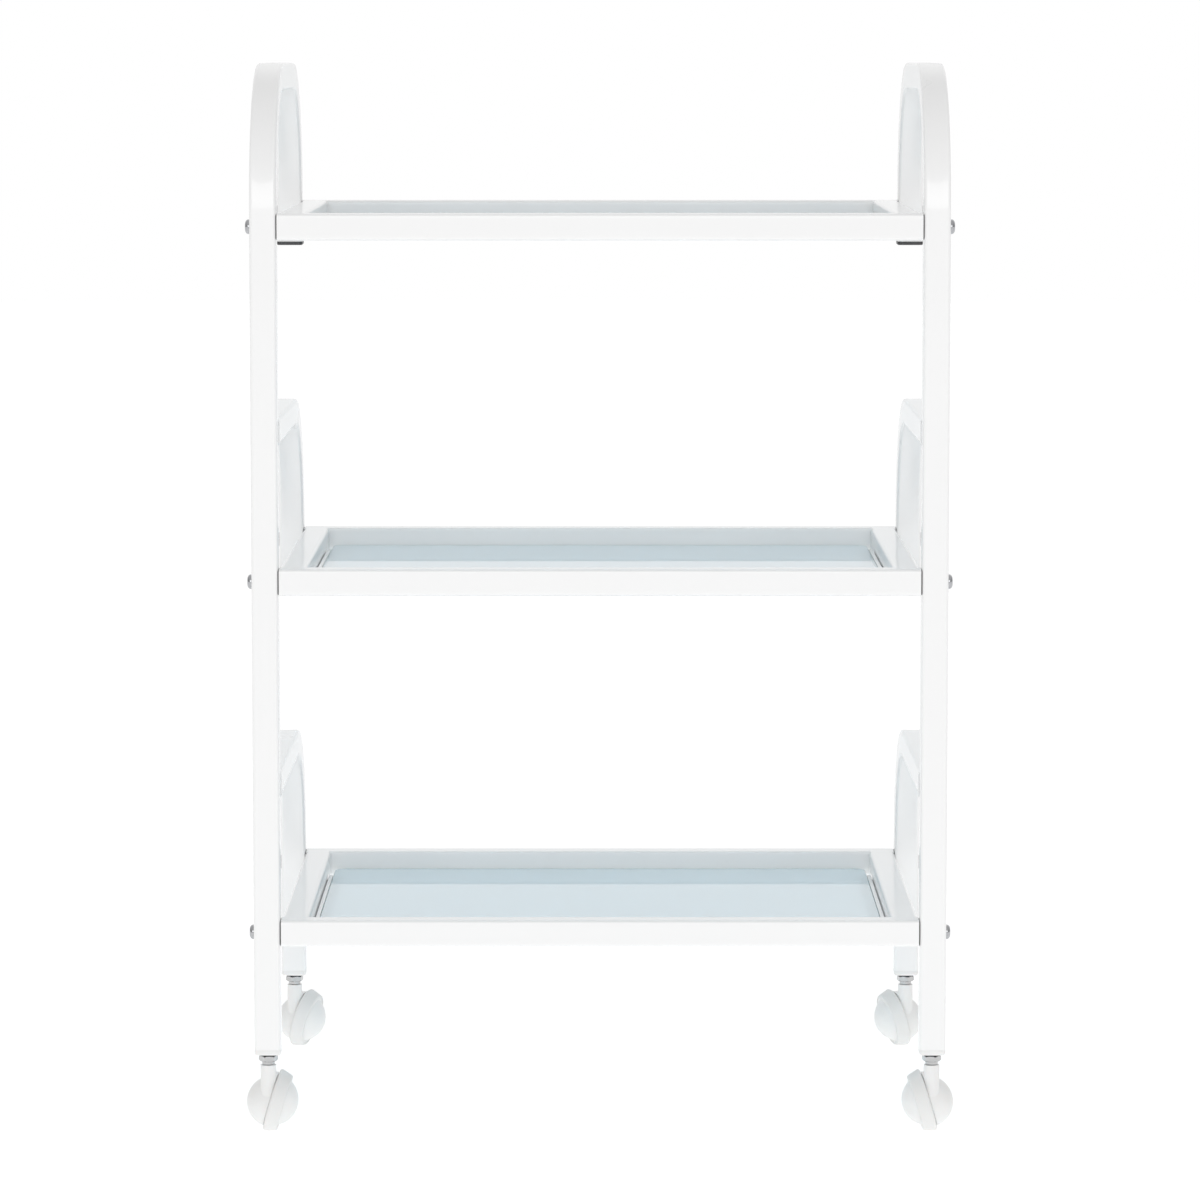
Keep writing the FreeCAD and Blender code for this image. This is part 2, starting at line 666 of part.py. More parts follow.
def along_axle(inboard, distance):
    """Place of something on the axle, this far from the ball's middle, facing along it."""
    turn = axle_turn(inboard)
    return FreeCAD.Placement(turn.multVec(UP * distance), turn)


def hollow_ring(name, gap, start, end):
    """The ring around the axle inside the hub's hollow, this gap clear of the hub."""
    outer = cylinder(name + "_outer", f"tyre_bore - hub_rim - {gap}", f"{end} - ( {start} )",
                     z=amount(start))
    inner = cylinder(name + "_inner", f"hub_boss_radius + {gap}", f"{end} - ( {start} )",
                     z=amount(start))
    return cut(name, outer, inner)


def caster_hood(name, inboard):
    """
    Moulded hood: part of a ball, with the stem's socket and a web behind it. The lower
    part of the socket stands into the hub's hollow.
    """
    stem_x = -inboard * cell("stem_inset")
    stem_y = -cell("trail")
    ball = doc.addObject("Part::Sphere", name + "_ball")
    ball.setExpression("Radius", linked("ball_radius"))
    ball.setExpression("Placement.Base.z", linked("-1 * hood_drop"))
    socket = cylinder(name + "_socket", "socket_radius", "socket_top", stem_x, stem_y)
    socket.setExpression("Height", linked("socket_top") + f" - {BALL_HEIGHT}")
    web = doc.addObject("Part::Box", name + "_web")
    web.setExpression("Length", linked("ball_radius"))
    web.setExpression("Width", linked("web_length"))
    web.setExpression("Height", linked("web_top") + f" - {BALL_HEIGHT}")
    web_x = stem_x if inboard > 0 else stem_x - cell("ball_radius")
    web.Placement.Base = FreeCAD.Vector(web_x, stem_y, 0)
    outside = fused(name + "_outside", [ball, socket, web])

    # The wheel's side is cut away flat, square to the axle.
    beyond = block(name + "_wheel_side", "4 * ball_radius", "4 * ball_radius",
                   "2 * ball_radius")
    corner = FreeCAD.Vector(-2 * cell("ball_radius"), -2 * cell("ball_radius"),
                            amount(HOOD_FACE))
    beyond.setExpression("Placement.Base.x", None)
    beyond.setExpression("Placement.Base.y", None)
    turn = axle_turn(inboard)
    beyond.Placement = FreeCAD.Placement(turn.multVec(corner), turn)
    faced = cut(name + "_faced", outside, beyond)

    stem_bottom = cell("socket_top") - cell("stem_reach") - BALL_HEIGHT
    boss = cylinder(name + "_boss", "socket_radius", "stem_reach + socket_floor",
                    stem_x, stem_y, stem_bottom - cell("socket_floor"))
    room = hollow_ring(name + "_room", "hood_gap", HOOD_FACE + " - hood_gap",
                       WHEEL_FACE + " + hub_hollow_depth - hood_gap")
    room.Placement = FreeCAD.Placement(FreeCAD.Vector(), turn)
    inside = doc.addObject("Part::Common", name + "_inside")
    inside.Base = boss
    inside.Tool = room
    stem_bore = cylinder(name + "_stem_bore", "spigot_radius + spigot_clearance",
                         "stem_reach + collar_gap", stem_x, stem_y,
                         stem_bottom - cell("collar_gap") / 2)
    axle_bore = cylinder(name + "_axle_bore", "axle_radius", "axle_in_hood + ball_radius")
    axle_bore.Placement = along_axle(inboard, -cell("axle_in_hood"))
    return cut(name, fused(name + "_solid", [faced, inside]),
               fused(name + "_bores", [stem_bore, axle_bore]))


def caster_axle(name, inboard):
    axle = cylinder(name, "axle_radius", "axle_in_hood + axle_in_hub")
    axle.Placement = along_axle(inboard, -cell("axle_in_hood"))
    return axle


def wheel_hub(name, inboard):
    """Disc inside the tyre with the dome that completes the ball; hollow on the hood's side."""
    disc = cylinder(name + "_disc", "tyre_bore", "tyre_width",
                    z=amount("wheel_offset - tyre_width / 2"))
    dome = doc.addObject("Part::Sphere", name + "_dome")
    dome.setExpression("Radius", linked("ball_radius"))
    base = amount("wheel_offset + tyre_width / 2") - cell("tyre_edge")
    dome.Angle1 = math.degrees(math.asin(base / cell("ball_radius")))
    bore = cylinder(name + "_bore", "axle_radius + axle_clearance",
                    "axle_in_hub + axle_end_gap + ball_radius", z=-cell("ball_radius"))
    hollow = hollow_ring(name + "_hollow", "0", WHEEL_FACE,
                         WHEEL_FACE + " + hub_hollow_depth")
    hub = cut(name, fused(name + "_body", [disc, dome]), fused(name + "_room", [bore, hollow]))
    hub.Placement = along_axle(inboard, 0)
    return hub


def tyre(name, inboard):
    """Grey-white ring with a cone-shaped tread and round edges, moulded onto the hub."""
    body = new_body(name)
    section = new_sketch(body, name + "_section", "XZ")
    half = cell("tyre_width") / 2
    slope = half * math.tan(TILT)
    bore, tread = cell("tyre_bore"), cell("tyre_radius")
    section.addGeometry([
        line(bore, -half, tread + slope, -half), line(tread + slope, -half, tread - slope, half),
        line(tread - slope, half, bore, half), line(bore, half, bore, -half),
    ], False)
    for side in range(4):
        section.addConstraint(Sketcher.Constraint("Coincident", side, 2, (side + 1) % 4, 1))
    section.addConstraint(Sketcher.Constraint("Horizontal", 0))
    section.addConstraint(Sketcher.Constraint("Horizontal", 2))
    section.addConstraint(Sketcher.Constraint("Vertical", 3))
    hold(section, "DistanceX", 3, 1, "tyre_bore")
    hold(section, "DistanceY", 0, 1, "-1 * tyre_width / 2")
    hold(section, "DistanceY", 2, 1, "tyre_width / 2")
    for point, sign in ((1, "+"), (2, "-")):
        hold(section, "DistanceX", 1, point,
             f"tyre_radius {sign} tyre_width / 2 * tan( wheel_tilt * 1 deg )")
    ring = body.newObject("PartDesign::Revolution", name + "_ring")
    ring.Profile = section
    ring.ReferenceAxis = (section, ["V_Axis"])
    ring.Angle = 360
    doc.recompute()
    rounding = body.newObject("PartDesign::Fillet", name + "_edges")
    tread_edges = []
    for index, edge in enumerate(ring.Shape.Edges, start=1):
        on_circle = hasattr(edge.Curve, "Radius")
        if on_circle and edge.Curve.Radius > bore + SAME_PLACE:
            tread_edges.append(f"Edge{index}")
    rounding.Base = (ring, tread_edges)
    rounding.setExpression("Radius", linked("tyre_edge"))
    body.Placement = along_axle(inboard, cell("wheel_offset"))
    return body


for corner, inboard, x, y, yaw in CORNERS:
    place = caster_place(inboard, x, y, yaw)
    for maker, piece in ((caster_hood, "hood"), (caster_axle, "axle"),
                         (wheel_hub, "wheel_hub"), (tyre, "tyre")):
        name = f"{corner}_{piece}"
        thing = maker(name, inboard)
        thing.Label = name
        thing.Placement = place.multiply(thing.Placement)
        nodes.append(thing)


# ---- check and write --------------------------------------------------------------------

doc.recompute()
for thing in doc.Objects:
    if "Invalid" in thing.State or "Error" in thing.State:
        raise RuntimeError(f"{thing.Label} did not compute: {thing.State}")
os.makedirs("parts", exist_ok=True)
for thing in nodes:
    if thing.Shape.isNull() or not thing.Shape.isValid():
        raise RuntimeError(thing.Label + " has no valid shape")
for thing in nodes:
    thing.Shape.exportStep(f"parts/{thing.Label}.step")
print(len(nodes), "nodes; frame shifted by", round(SHIFT_Y, 3), "ball height",
      round(BALL_HEIGHT, 3))
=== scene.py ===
import json
import math

import bmesh
import bpy
from mathutils import Matrix, Vector


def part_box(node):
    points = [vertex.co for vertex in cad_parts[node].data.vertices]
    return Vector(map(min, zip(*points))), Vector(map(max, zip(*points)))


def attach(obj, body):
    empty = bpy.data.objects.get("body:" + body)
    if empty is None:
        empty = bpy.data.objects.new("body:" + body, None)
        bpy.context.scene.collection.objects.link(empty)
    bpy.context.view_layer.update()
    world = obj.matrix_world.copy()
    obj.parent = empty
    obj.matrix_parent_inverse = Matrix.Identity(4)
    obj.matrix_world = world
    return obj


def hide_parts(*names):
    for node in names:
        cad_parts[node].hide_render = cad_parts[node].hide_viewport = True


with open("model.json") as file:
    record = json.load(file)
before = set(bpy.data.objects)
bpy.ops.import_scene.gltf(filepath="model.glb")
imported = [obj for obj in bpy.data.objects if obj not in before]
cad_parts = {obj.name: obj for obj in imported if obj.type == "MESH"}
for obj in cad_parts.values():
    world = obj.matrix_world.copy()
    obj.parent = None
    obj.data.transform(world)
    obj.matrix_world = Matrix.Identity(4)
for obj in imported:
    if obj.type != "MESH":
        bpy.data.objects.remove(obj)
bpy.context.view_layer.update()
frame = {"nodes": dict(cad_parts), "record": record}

MM = 0.001
record = frame["record"]
joints = {joint["name"]: joint for joint in record["behaviour"]["joints"]}


# ---- camera ----------------------------------------------------------------------------
# The cart is seen square from the front by a long lens a few metres away, held a little
# above the top shelf and tipped down to the middle of the cart.

front_face_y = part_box("left_handle_tube")[0].y
aim_height = 429 * MM
eye_height = 862 * MM
eye_distance = 4200 * MM
aim = Vector((0, front_face_y, aim_height))
eye = Vector((0, front_face_y - eye_distance, eye_height))
camera_data = bpy.data.cameras.new("cart_camera")
camera_data.sensor_width = 36
camera_data.lens = 160.6
camera_data.clip_end = 60
camera = bpy.data.objects.new("cart_camera", camera_data)
camera.location = eye
camera.rotation_euler = (aim - eye).to_track_quat("-Z", "Y").to_euler()
bpy.context.scene.collection.objects.link(camera)
bpy.context.scene.camera = camera


# ---- floor and light ---------------------------------------------------------------------
# A plain white studio floor, lit from below like a light table towards its rim, runs out to
# a white surround. A large softbox stands low in front. The room is brighter behind the cart
# and overhead than at its sides.

floor_radius = 14
near_rim, far_rim = 0.5, 2.6
room_front, room_sides, room_back, room_overhead = 0.44, 0.42, 0.97, 0.27


def node_material(name):
    """A new material with only its principled shader, and a helper that adds nodes to it."""
    material = bpy.data.materials.new(name)
    material.use_nodes = True
    tree = material.node_tree
    shader = tree.nodes["Principled BSDF"]

    def add(kind, **settings):
        node = tree.nodes.new(kind)
        for key, value in settings.items():
            if key in node.inputs:
                node.inputs[key].default_value = value
            else:
                setattr(node, key, value)
        return node

    return material, shader, add, tree.links.new


def floor_paint():
    material, shader, add, link = node_material("studio_floor_paint")
    place = add("ShaderNodeTexCoord")
    grain = add("ShaderNodeTexNoise", Scale=40.0, Detail=3.0)
    tone = add("ShaderNodeMix", data_type="RGBA")
    tone.inputs["A"].default_value = (0.90, 0.90, 0.90, 1)
    tone.inputs["B"].default_value = (0.93, 0.93, 0.93, 1)
    reach = add("ShaderNodeVectorMath", operation="LENGTH")
    # towards the rim the glow takes over from the paint, so the floor stays evenly white
    glow = add("ShaderNodeMapRange", interpolation_type="SMOOTHSTEP")
    glow.inputs["To Min"].default_value = 0.42
    unlit = add("ShaderNodeMapRange", interpolation_type="SMOOTHSTEP")
    darker = add("ShaderNodeMix", data_type="RGBA")
    darker.inputs["B"].default_value = (0, 0, 0, 1)
    link(place.outputs["Object"], grain.inputs["Vector"])
    link(place.outputs["Object"], reach.inputs[0])
    for fade in (glow, unlit):
        fade.inputs["From Min"].default_value = near_rim
        fade.inputs["From Max"].default_value = far_rim
        link(reach.outputs["Value"], fade.inputs["Value"])
    link(glow.outputs["Result"], shader.inputs["Emission Strength"])
    link(grain.outputs["Fac"], tone.inputs["Factor"])
    link(unlit.outputs["Result"], darker.inputs["Factor"])
    link(tone.outputs["Result"], darker.inputs["A"])
    link(darker.outputs["Result"], shader.inputs["Base Color"])
    shader.inputs["Roughness"].default_value = 0.8
    shader.inputs["Specular IOR Level"].default_value = 0.1
    shader.inputs["Emission Color"].default_value = (1, 1, 1, 1)
    return material


floor_mesh = bpy.data.meshes.new("studio_floor")
floor_shape = bmesh.new()
bmesh.ops.create_circle(floor_shape, cap_ends=True, segments=96, radius=floor_radius)
floor_shape.to_mesh(floor_mesh)
floor_shape.free()
studio_floor = bpy.data.objects.new("studio_floor", floor_mesh)
floor_mesh.materials.append(floor_paint())
bpy.context.scene.collection.objects.link(studio_floor)


def softbox(name, place, target, width, height, watts):
    data = bpy.data.lights.new(name, "AREA")
    data.shape = "RECTANGLE"
    data.size, data.size_y = width, height
    data.energy = watts
    lamp = bpy.data.objects.new(name, data)
    lamp.location = place
    lamp.rotation_euler = (Vector(target) - Vector(place)).to_track_quat("-Z", "Y").to_euler()
    bpy.context.scene.collection.objects.link(lamp)


cart_middle = Vector((0, 0, 0.42))
softbox("front_softbox", (0, -5.6, 1.9), cart_middle, 4.6, 2.2, 70)

surround = bpy.data.worlds.new("white_surround")
surround.use_nodes = True
bpy.context.scene.world = surround
room = surround.node_tree.nodes
room_light = room["Background"]
room_light.inputs["Color"].default_value = (1, 1, 1, 1)
direction = room.new("ShaderNodeTexCoord")
parts = room.new("ShaderNodeSeparateXYZ")
from_front_to_back = room.new("ShaderNodeMapRange")
from_front_to_back.inputs["From Min"].default_value = -1.0
around_the_room = room.new("ShaderNodeValToRGB")
around_the_room.color_ramp.interpolation = "EASE"
room_stops = around_the_room.color_ramp.elements
room_stops[0].position, room_stops[0].color = 0.02, (room_front, room_front, room_front, 1)
room_stops[1].position, room_stops[1].color = 0.96, (room_back, room_back, room_back, 1)
for place in (0.28, 0.70):
    room_stops.new(place).color = (room_sides, room_sides, room_sides, 1)
ceiling = room.new("ShaderNodeMapRange")
ceiling.interpolation_type = "SMOOTHSTEP"
ceiling.inputs["From Min"].default_value = 0.15
ceiling.inputs["From Max"].default_value = 0.80
ceiling.inputs["To Max"].default_value = room_overhead
together = room.new("ShaderNodeMath")
wire = surround.node_tree.links.new
wire(direction.outputs["Generated"], parts.inputs[0])
wire(parts.outputs["Y"], from_front_to_back.inputs["Value"])
wire(from_front_to_back.outputs["Result"], around_the_room.inputs["Fac"])
wire(around_the_room.outputs["Color"], together.inputs[0])
wire(parts.outputs["Z"], ceiling.inputs["Value"])
wire(ceiling.outputs["Result"], together.inputs[1])
wire(together.outputs[0], room_light.inputs["Strength"])
seen_white = room.new("ShaderNodeBackground")
seen_white.inputs["Color"].default_value = (1, 1, 1, 1)
ray_kind = room.new("ShaderNodeLightPath")
chosen = room.new("ShaderNodeMixShader")
wire(ray_kind.outputs["Is Camera Ray"], chosen.inputs[0])
wire(room_light.outputs[0], chosen.inputs[1])
wire(seen_white.outputs[0], chosen.inputs[2])
wire(chosen.outputs[0], room["World Output"].inputs["Surface"])
bpy.context.scene.view_settings.view_transform = "Standard"
bpy.context.scene.view_settings.gamma = 1.12


# ---- side frames: bent square tube -----------------------------------------------------------
# Each side is three pieces of 21 mm square steel tube: the handle tube, from the front foot
# over the top and down behind, and two arches welded to the back of its leg. The outer wall
# sinks a little in every bend. All of it is sprayed and baked with gloss white powder.

def powder_coat():
    material, shader, add, link = node_material("white_powder_coat")
    place = add("ShaderNodeTexCoord")
    cloud = add("ShaderNodeTexNoise", Scale=14.0, Detail=2.0, Roughness=0.4)
    tone = add("ShaderNodeValToRGB")
    tone.color_ramp.elements[0].position = 0.2
    tone.color_ramp.elements[0].color = (0.922, 0.922, 0.921, 1)
    tone.color_ramp.elements[1].position = 0.8
    tone.color_ramp.elements[1].color = (0.928, 0.928, 0.926, 1)
    gloss = add("ShaderNodeMapRange")
    gloss.inputs["To Min"].default_value = 0.27
    gloss.inputs["To Max"].default_value = 0.285
    peel = add("ShaderNodeTexNoise", Scale=520.0, Detail=2.0, Roughness=0.5)
    broad_peel = add("ShaderNodeTexNoise", Scale=130.0, Detail=1.0)
    both = add("ShaderNodeMath", operation="ADD")
    raised = add("ShaderNodeBump", Strength=0.10, Distance=0.0001)
    link(place.outputs["Object"], cloud.inputs["Vector"])
    link(place.outputs["Object"], peel.inputs["Vector"])
    link(place.outputs["Object"], broad_peel.inputs["Vector"])
    link(cloud.outputs["Fac"], tone.inputs["Fac"])
    link(tone.outputs["Color"], shader.inputs["Base Color"])
    link(cloud.outputs["Fac"], gloss.inputs["Value"])
    link(gloss.outputs["Result"], shader.inputs["Roughness"])
    link(peel.outputs["Fac"], both.inputs[0])
    link(broad_peel.outputs["Fac"], both.inputs[1])
    link(both.outputs["Value"], raised.inputs["Height"])
    link(raised.outputs["Normal"], shader.inputs["Normal"])
    shader.inputs["Coat Weight"].default_value = 0.6
    shader.inputs["Coat Roughness"].default_value = 0.06
    return material


white_powder_coat = powder_coat()

tube_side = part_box("left_handle_tube")[1].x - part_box("left_handle_tube")[0].x
tube_corner = 2.6 * MM
tube_wall = 1.2 * MM
bend_middle_radius = 115 * MM - tube_side / 2
bend_dish = 0.75 * MM
bend_hollow = 0.9 * MM
cap_flange = 3 * MM


def rounded_outline(half_width, half_height, corner, corner_steps=6, flat_steps=1):
    """Points round a rectangle with round corners, as (across, up), anticlockwise."""
    points = []
    places = ((1, -1, -90), (1, 1, 0), (-1, 1, 90), (-1, -1, 180))
    for number, (right, top, first) in enumerate(places):
        centre = (right * (half_width - corner), top * (half_height - corner))
        for step in range(corner_steps + 1):
            turn = math.radians(first + 90 * step / corner_steps)
            points.append((centre[0] + corner * math.cos(turn),
                           centre[1] + corner * math.sin(turn)))
        if flat_steps > 1:
            start = points[-1]
            next_right, next_top, next_first = places[(number + 1) % 4]
            turn = math.radians(next_first)
            end = (next_right * (half_width - corner) + corner * math.cos(turn),
                   next_top * (half_height - corner) + corner * math.sin(turn))
            for step in range(1, flat_steps):
                share = step / flat_steps
                points.append((start[0] + (end[0] - start[0]) * share,
                               start[1] + (end[1] - start[1]) * share))
    return points


def finished(name, shape, *materials, sharp=35, weighted=True):
    """Turn a bmesh into an object of the scene with clean normals and its materials."""
    bmesh.ops.recalc_face_normals(shape, faces=shape.faces)
    mesh = bpy.data.meshes.new(name)
    shape.to_mesh(mesh)
    shape.free()
    for material in materials:
        mesh.materials.append(material)
    mesh.shade_smooth()
    mesh.set_sharp_from_angle(angle=math.radians(sharp))
    piece = bpy.data.objects.new(name, mesh)
    bpy.context.scene.collection.objects.link(piece)
    if weighted:
        even = piece.modifiers.new("even_normals", "WEIGHTED_NORMAL")
        even.keep_sharp = True
    return piece


def joined_rings(shape, rings, closed=False, first_cap=False, last_cap=False, material=0):
    """Skin a list of point rings, all of the same length, into a bmesh."""
    made = [[shape.verts.new(point) for point in ring] for ring in rings]
    count = len(made[0])
    pairs = list(zip(made, made[1:]))
    if closed:
        pairs.append((made[-1], made[0]))
    faces = []
    for low, high in pairs:
        for index in range(count):
            after = (index + 1) % count
            faces.append(shape.faces.new((low[index], low[after], high[after], high[index])))
    if first_cap:
        faces.append(shape.faces.new(list(reversed(made[0]))))
    if last_cap:
        faces.append(shape.faces.new(made[-1]))
    for face in faces:
        face.material_index = material
    return made


def hollow_tube(shape, stations):
    """
    Skin a square tube, outside and inside, through its stations. A station is a point, the
    directions of the section's width and height, and how much of a bend's dish it has.
    """
    outside, inside = [], []
    for point, across, outward, dish in stations:
        for rings, half, corner in ((outside, tube_side / 2, tube_corner),
                                    (inside, tube_side / 2 - tube_wall,
                                     tube_corner - tube_wall)):
            ring = []
            flat = half - corner
            for u, v in rounded_outline(half, half, corner, 6, 6):
                sink = max(0, 1 - (u / flat) ** 2) * dish
                if v > flat:
                    v -= bend_dish * sink
                elif v < -flat:
                    v += bend_hollow * sink
                ring.append(point + across * u + outward * v)
            rings.append(ring)
    joined_rings(shape, outside + list(reversed(inside)), closed=True)


def bend_stations(centre, across, first, last, steps=26):
    """Stations round a bend in the Y-Z plane; the dish fades in and out at its ends."""
    stations = []
    for step in range(steps + 1):
        share = step / steps
        turn = math.radians(first + (last - first) * share)
        outward = Vector((0, math.cos(turn), math.sin(turn)))
        fade = min(1, share / 0.22, (1 - share) / 0.22)
        stations.append((centre + outward * bend_middle_radius, across, outward,
                         fade * fade * (3 - 2 * fade)))
    return stations


def side_tube(name, node, rear_end, has_front_leg):
    low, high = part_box(node)
    x = (low.x + high.x) / 2
    half = tube_side / 2
    across, up = Vector((1, 0, 0)), Vector((0, 0, 1))
    back = Vector((0, 1, 0))
    top, rear = high.z - half, high.y - half
    stations = []
    if has_front_leg:
        leg = low.y + half
        stations.append((Vector((x, leg, low.z)), across, -back, 0))
        stations.append((Vector((x, leg, low.z + 40 * MM)), across, -back, 0))
        centre = Vector((x, leg + bend_middle_radius, top - bend_middle_radius))
        stations += bend_stations(centre, across, 180, 90)
    else:
        stations.append((Vector((x, low.y, top)), across, up, 0))
        stations.append((Vector((x, low.y + 20 * MM, top)), across, up, 0))
    centre = Vector((x, rear - bend_middle_radius, top - bend_middle_radius))
    stations += bend_stations(centre, across, 90, 0)
    stations.append((Vector((x, rear, rear_end + 20 * MM)), across, back, 0))
    stations.append((Vector((x, rear, rear_end)), across, back, 0))
    shape = bmesh.new()
    hollow_tube(shape, stations)
    piece = finished(name, shape, white_powder_coat)
    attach(piece, "frame")
    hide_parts(node)
    return piece


for hand in ("left", "right"):
    handle_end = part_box(f"{hand}_top_end_cap")[0].z + cap_flange
    side_tube(f"{hand}_bent_handle", f"{hand}_handle_tube", handle_end, True)
    for level in ("middle", "bottom"):
        node = f"{hand}_{level}_arch"
        side_tube(f"{hand}_{level}_bent_arch", node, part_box(node)[0].z, False)


# ---- shelf frames: straight square tube ------------------------------------------------------
# Per shelf, four straight lengths of the same tube are welded into one frame: a front and a
# rear rail between the legs, and two side rails between those. Same white powder.

def straight_tube(name, node, along, flush):
    """flush is how far the weld, ground level, carries the tube on over a round corner."""
    low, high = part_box(node)
    middle = (low + high) / 2
    start, end = middle.copy(), middle.copy()
    setattr(start, along, getattr(low, along) - flush)
    setattr(end, along, getattr(high, along) + flush)
    across = Vector((0, 1, 0)) if along == "x" else Vector((1, 0, 0))
    up = Vector((0, 0, 1))
    stations = [(start.lerp(end, share), across, up, 0) for share in (0, 0.04, 0.5, 0.96, 1)]
    shape = bmesh.new()
    hollow_tube(shape, stations)
    piece = finished(name, shape, white_powder_coat)
    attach(piece, "frame")
    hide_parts(node)
    return piece


levels = ("top", "middle", "bottom")
for level in levels:
    for end in ("front", "rear"):
        straight_tube(f"{level}_{end}_crossbar", f"{level}_{end}_rail", "x", 0)
    for hand in ("left", "right"):
        straight_tube(f"{level}_{hand}_sidebar", f"{level}_{hand}_side_rail", "y",
                      tube_corner)


# ---- weld beads ------------------------------------------------------------------------------
# Small run-round beads where the arches butt on the front legs and the side rails on the
# cross rails. They were laid by hand, so they ripple, and the powder lies over them.

bead_size = 1.15 * MM
ripple_length = 1.9 * MM


def weld_bead(shape, middle, across, up, half, corner, size, ground_top=False):
    """
    A rippled bead round a square tube's end; across and up span the end's plane. With a
    ground top it runs only round the sides and the bottom.
    """
    outward_axis = across.cross(up)
    outline = rounded_outline(half, half, corner, 6, 22)
    length = 0
    rings = []
    count = len(outline)
    for index, (u, v) in enumerate(outline):
        if ground_top and v > half - corner:
            if rings and outline[index - 1][1] <= half - corner:
                first_side = rings
                rings = []
            continue
        before, after = outline[index - 1], outline[(index + 1) % count]
        along = across * (after[0] - before[0]) + up * (after[1] - before[1])
        outward = along.cross(outward_axis).normalized()
        place = middle + across * u + up * v
        length += math.hypot(u - before[0], v - before[1])
        ripple = math.sin(2 * math.pi * length / ripple_length)
        drift = math.sin(length / (7.3 * MM)) + math.sin(length / (3.1 * MM) + 1)
        radius = size * (1 + 0.10 * ripple + 0.07 * drift)
        ring = []
        for step in range(10):
            turn = 2 * math.pi * step / 10
            ring.append(place + outward * (radius * 0.72 * math.cos(turn))
                        + outward_axis * (radius * math.sin(turn)))
        rings.append(ring)
    if ground_top:
        joined_rings(shape, rings + first_side, first_cap=True, last_cap=True)
    else:
        joined_rings(shape, rings, closed=True)


x_axis, y_axis, z_axis = Vector((1, 0, 0)), Vector((0, 1, 0)), Vector((0, 0, 1))
for hand in ("left", "right"):
    shape = bmesh.new()
    for level in ("middle", "bottom"):
        low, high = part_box(f"{hand}_{level}_arch")
        middle = Vector(((low.x + high.x) / 2, low.y, high.z - tube_side / 2))
        weld_bead(shape, middle, x_axis, z_axis, tube_side / 2, tube_corner, bead_size)
    beads = finished(f"{hand}_arch_weld_beads", shape, white_powder_coat, weighted=False)
    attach(beads, "frame")
for level in levels:
    shape = bmesh.new()
    for hand in ("left", "right"):
        low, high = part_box(f"{level}_{hand}_side_rail")
        for y in (low.y, high.y):
            middle = Vector(((low.x + high.x) / 2, y, (low.z + high.z) / 2))
            weld_bead(shape, middle, x_axis, z_axis, tube_side / 2, tube_corner,
                      0.8 * bead_size, ground_top=True)
    beads = finished(f"{level}_shelf_weld_beads", shape, white_powder_coat, weighted=False)
    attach(beads, "frame")


# ---- ledge strips ----------------------------------------------------------------------------
# A folded steel strip is welded along the inside of each side rail, low down, and the glass
# lies on it. Its outer edge is turned up beside the glass and keeps the pane in place.

lip_thickness = 3.3 * MM
lip_off_rail = 0.7 * MM
lip_below_glass = 0.2 * MM


def ledge_strip(name, node):
    low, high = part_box(node)
    inner, outer = (high.x, low.x) if low.x < 0 else (low.x, high.x)
    toward_rail = 1 if outer > inner else -1
    width = abs(outer - inner)
    thick = high.z - low.z
    edge = 0.5 * MM
    rail_at = abs(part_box(node.replace("glass_ledge", "side_rail"))[1 if inner < 0 else 0].x
                  - inner)
    lip_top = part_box(node.rsplit("_", 3)[0] + "_glass")[1].z - lip_below_glass - low.z
    lip_out, lip_in = rail_at - lip_off_rail, rail_at - lip_off_rail - lip_thickness
    profile = []
    for turn in (270, 240, 210, 180, 150, 120, 90):
        angle = math.radians(turn)
        height = edge if turn > 180 else thick - edge
        profile.append((edge + edge * math.cos(angle), height + edge * math.sin(angle)))
    profile += [(lip_in - 0.3 * MM, thick), (lip_in, thick + 0.3 * MM)]
    for turn in (180, 150, 120, 90):
        angle = math.radians(turn)
        profile.append((lip_in + edge + edge * math.cos(angle),
                        lip_top - edge + edge * math.sin(angle)))
    for turn in (90, 60, 30, 0):
        angle = math.radians(turn)
        profile.append((lip_out - edge + edge * math.cos(angle),
                        lip_top - edge + edge * math.sin(angle)))
    profile += [(lip_out, thick + 0.1 * MM), (rail_at, thick), (width - 0.2 * MM, thick - 0.5 * MM),
                (width - 0.1 * MM, 0.7 * MM), (width - 0.6 * MM, 0)]
    shape = bmesh.new()
    rings = []
    for share in (0, 0.01, 0.5, 0.99, 1):
        y = low.y + (high.y - low.y) * share
        rings.append([(inner + toward_rail * across, y, low.z + height)
                      for across, height in profile])
    joined_rings(shape, rings, first_cap=True, last_cap=True)
    piece = finished(name, shape, white_powder_coat)
    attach(piece, "frame")
    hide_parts(node)


for level in levels:
    for hand in ("left", "right"):
        ledge_strip(f"{level}_{hand}_glass_strip", f"{level}_{hand}_glass_ledge")


# ---- glass panels ----------------------------------------------------------------------------
# A loose pane of 4 mm glass lies in each shelf frame: milky pale blue, glossy on top, with
# round corners and ground edges that gather the glass's blue-green.

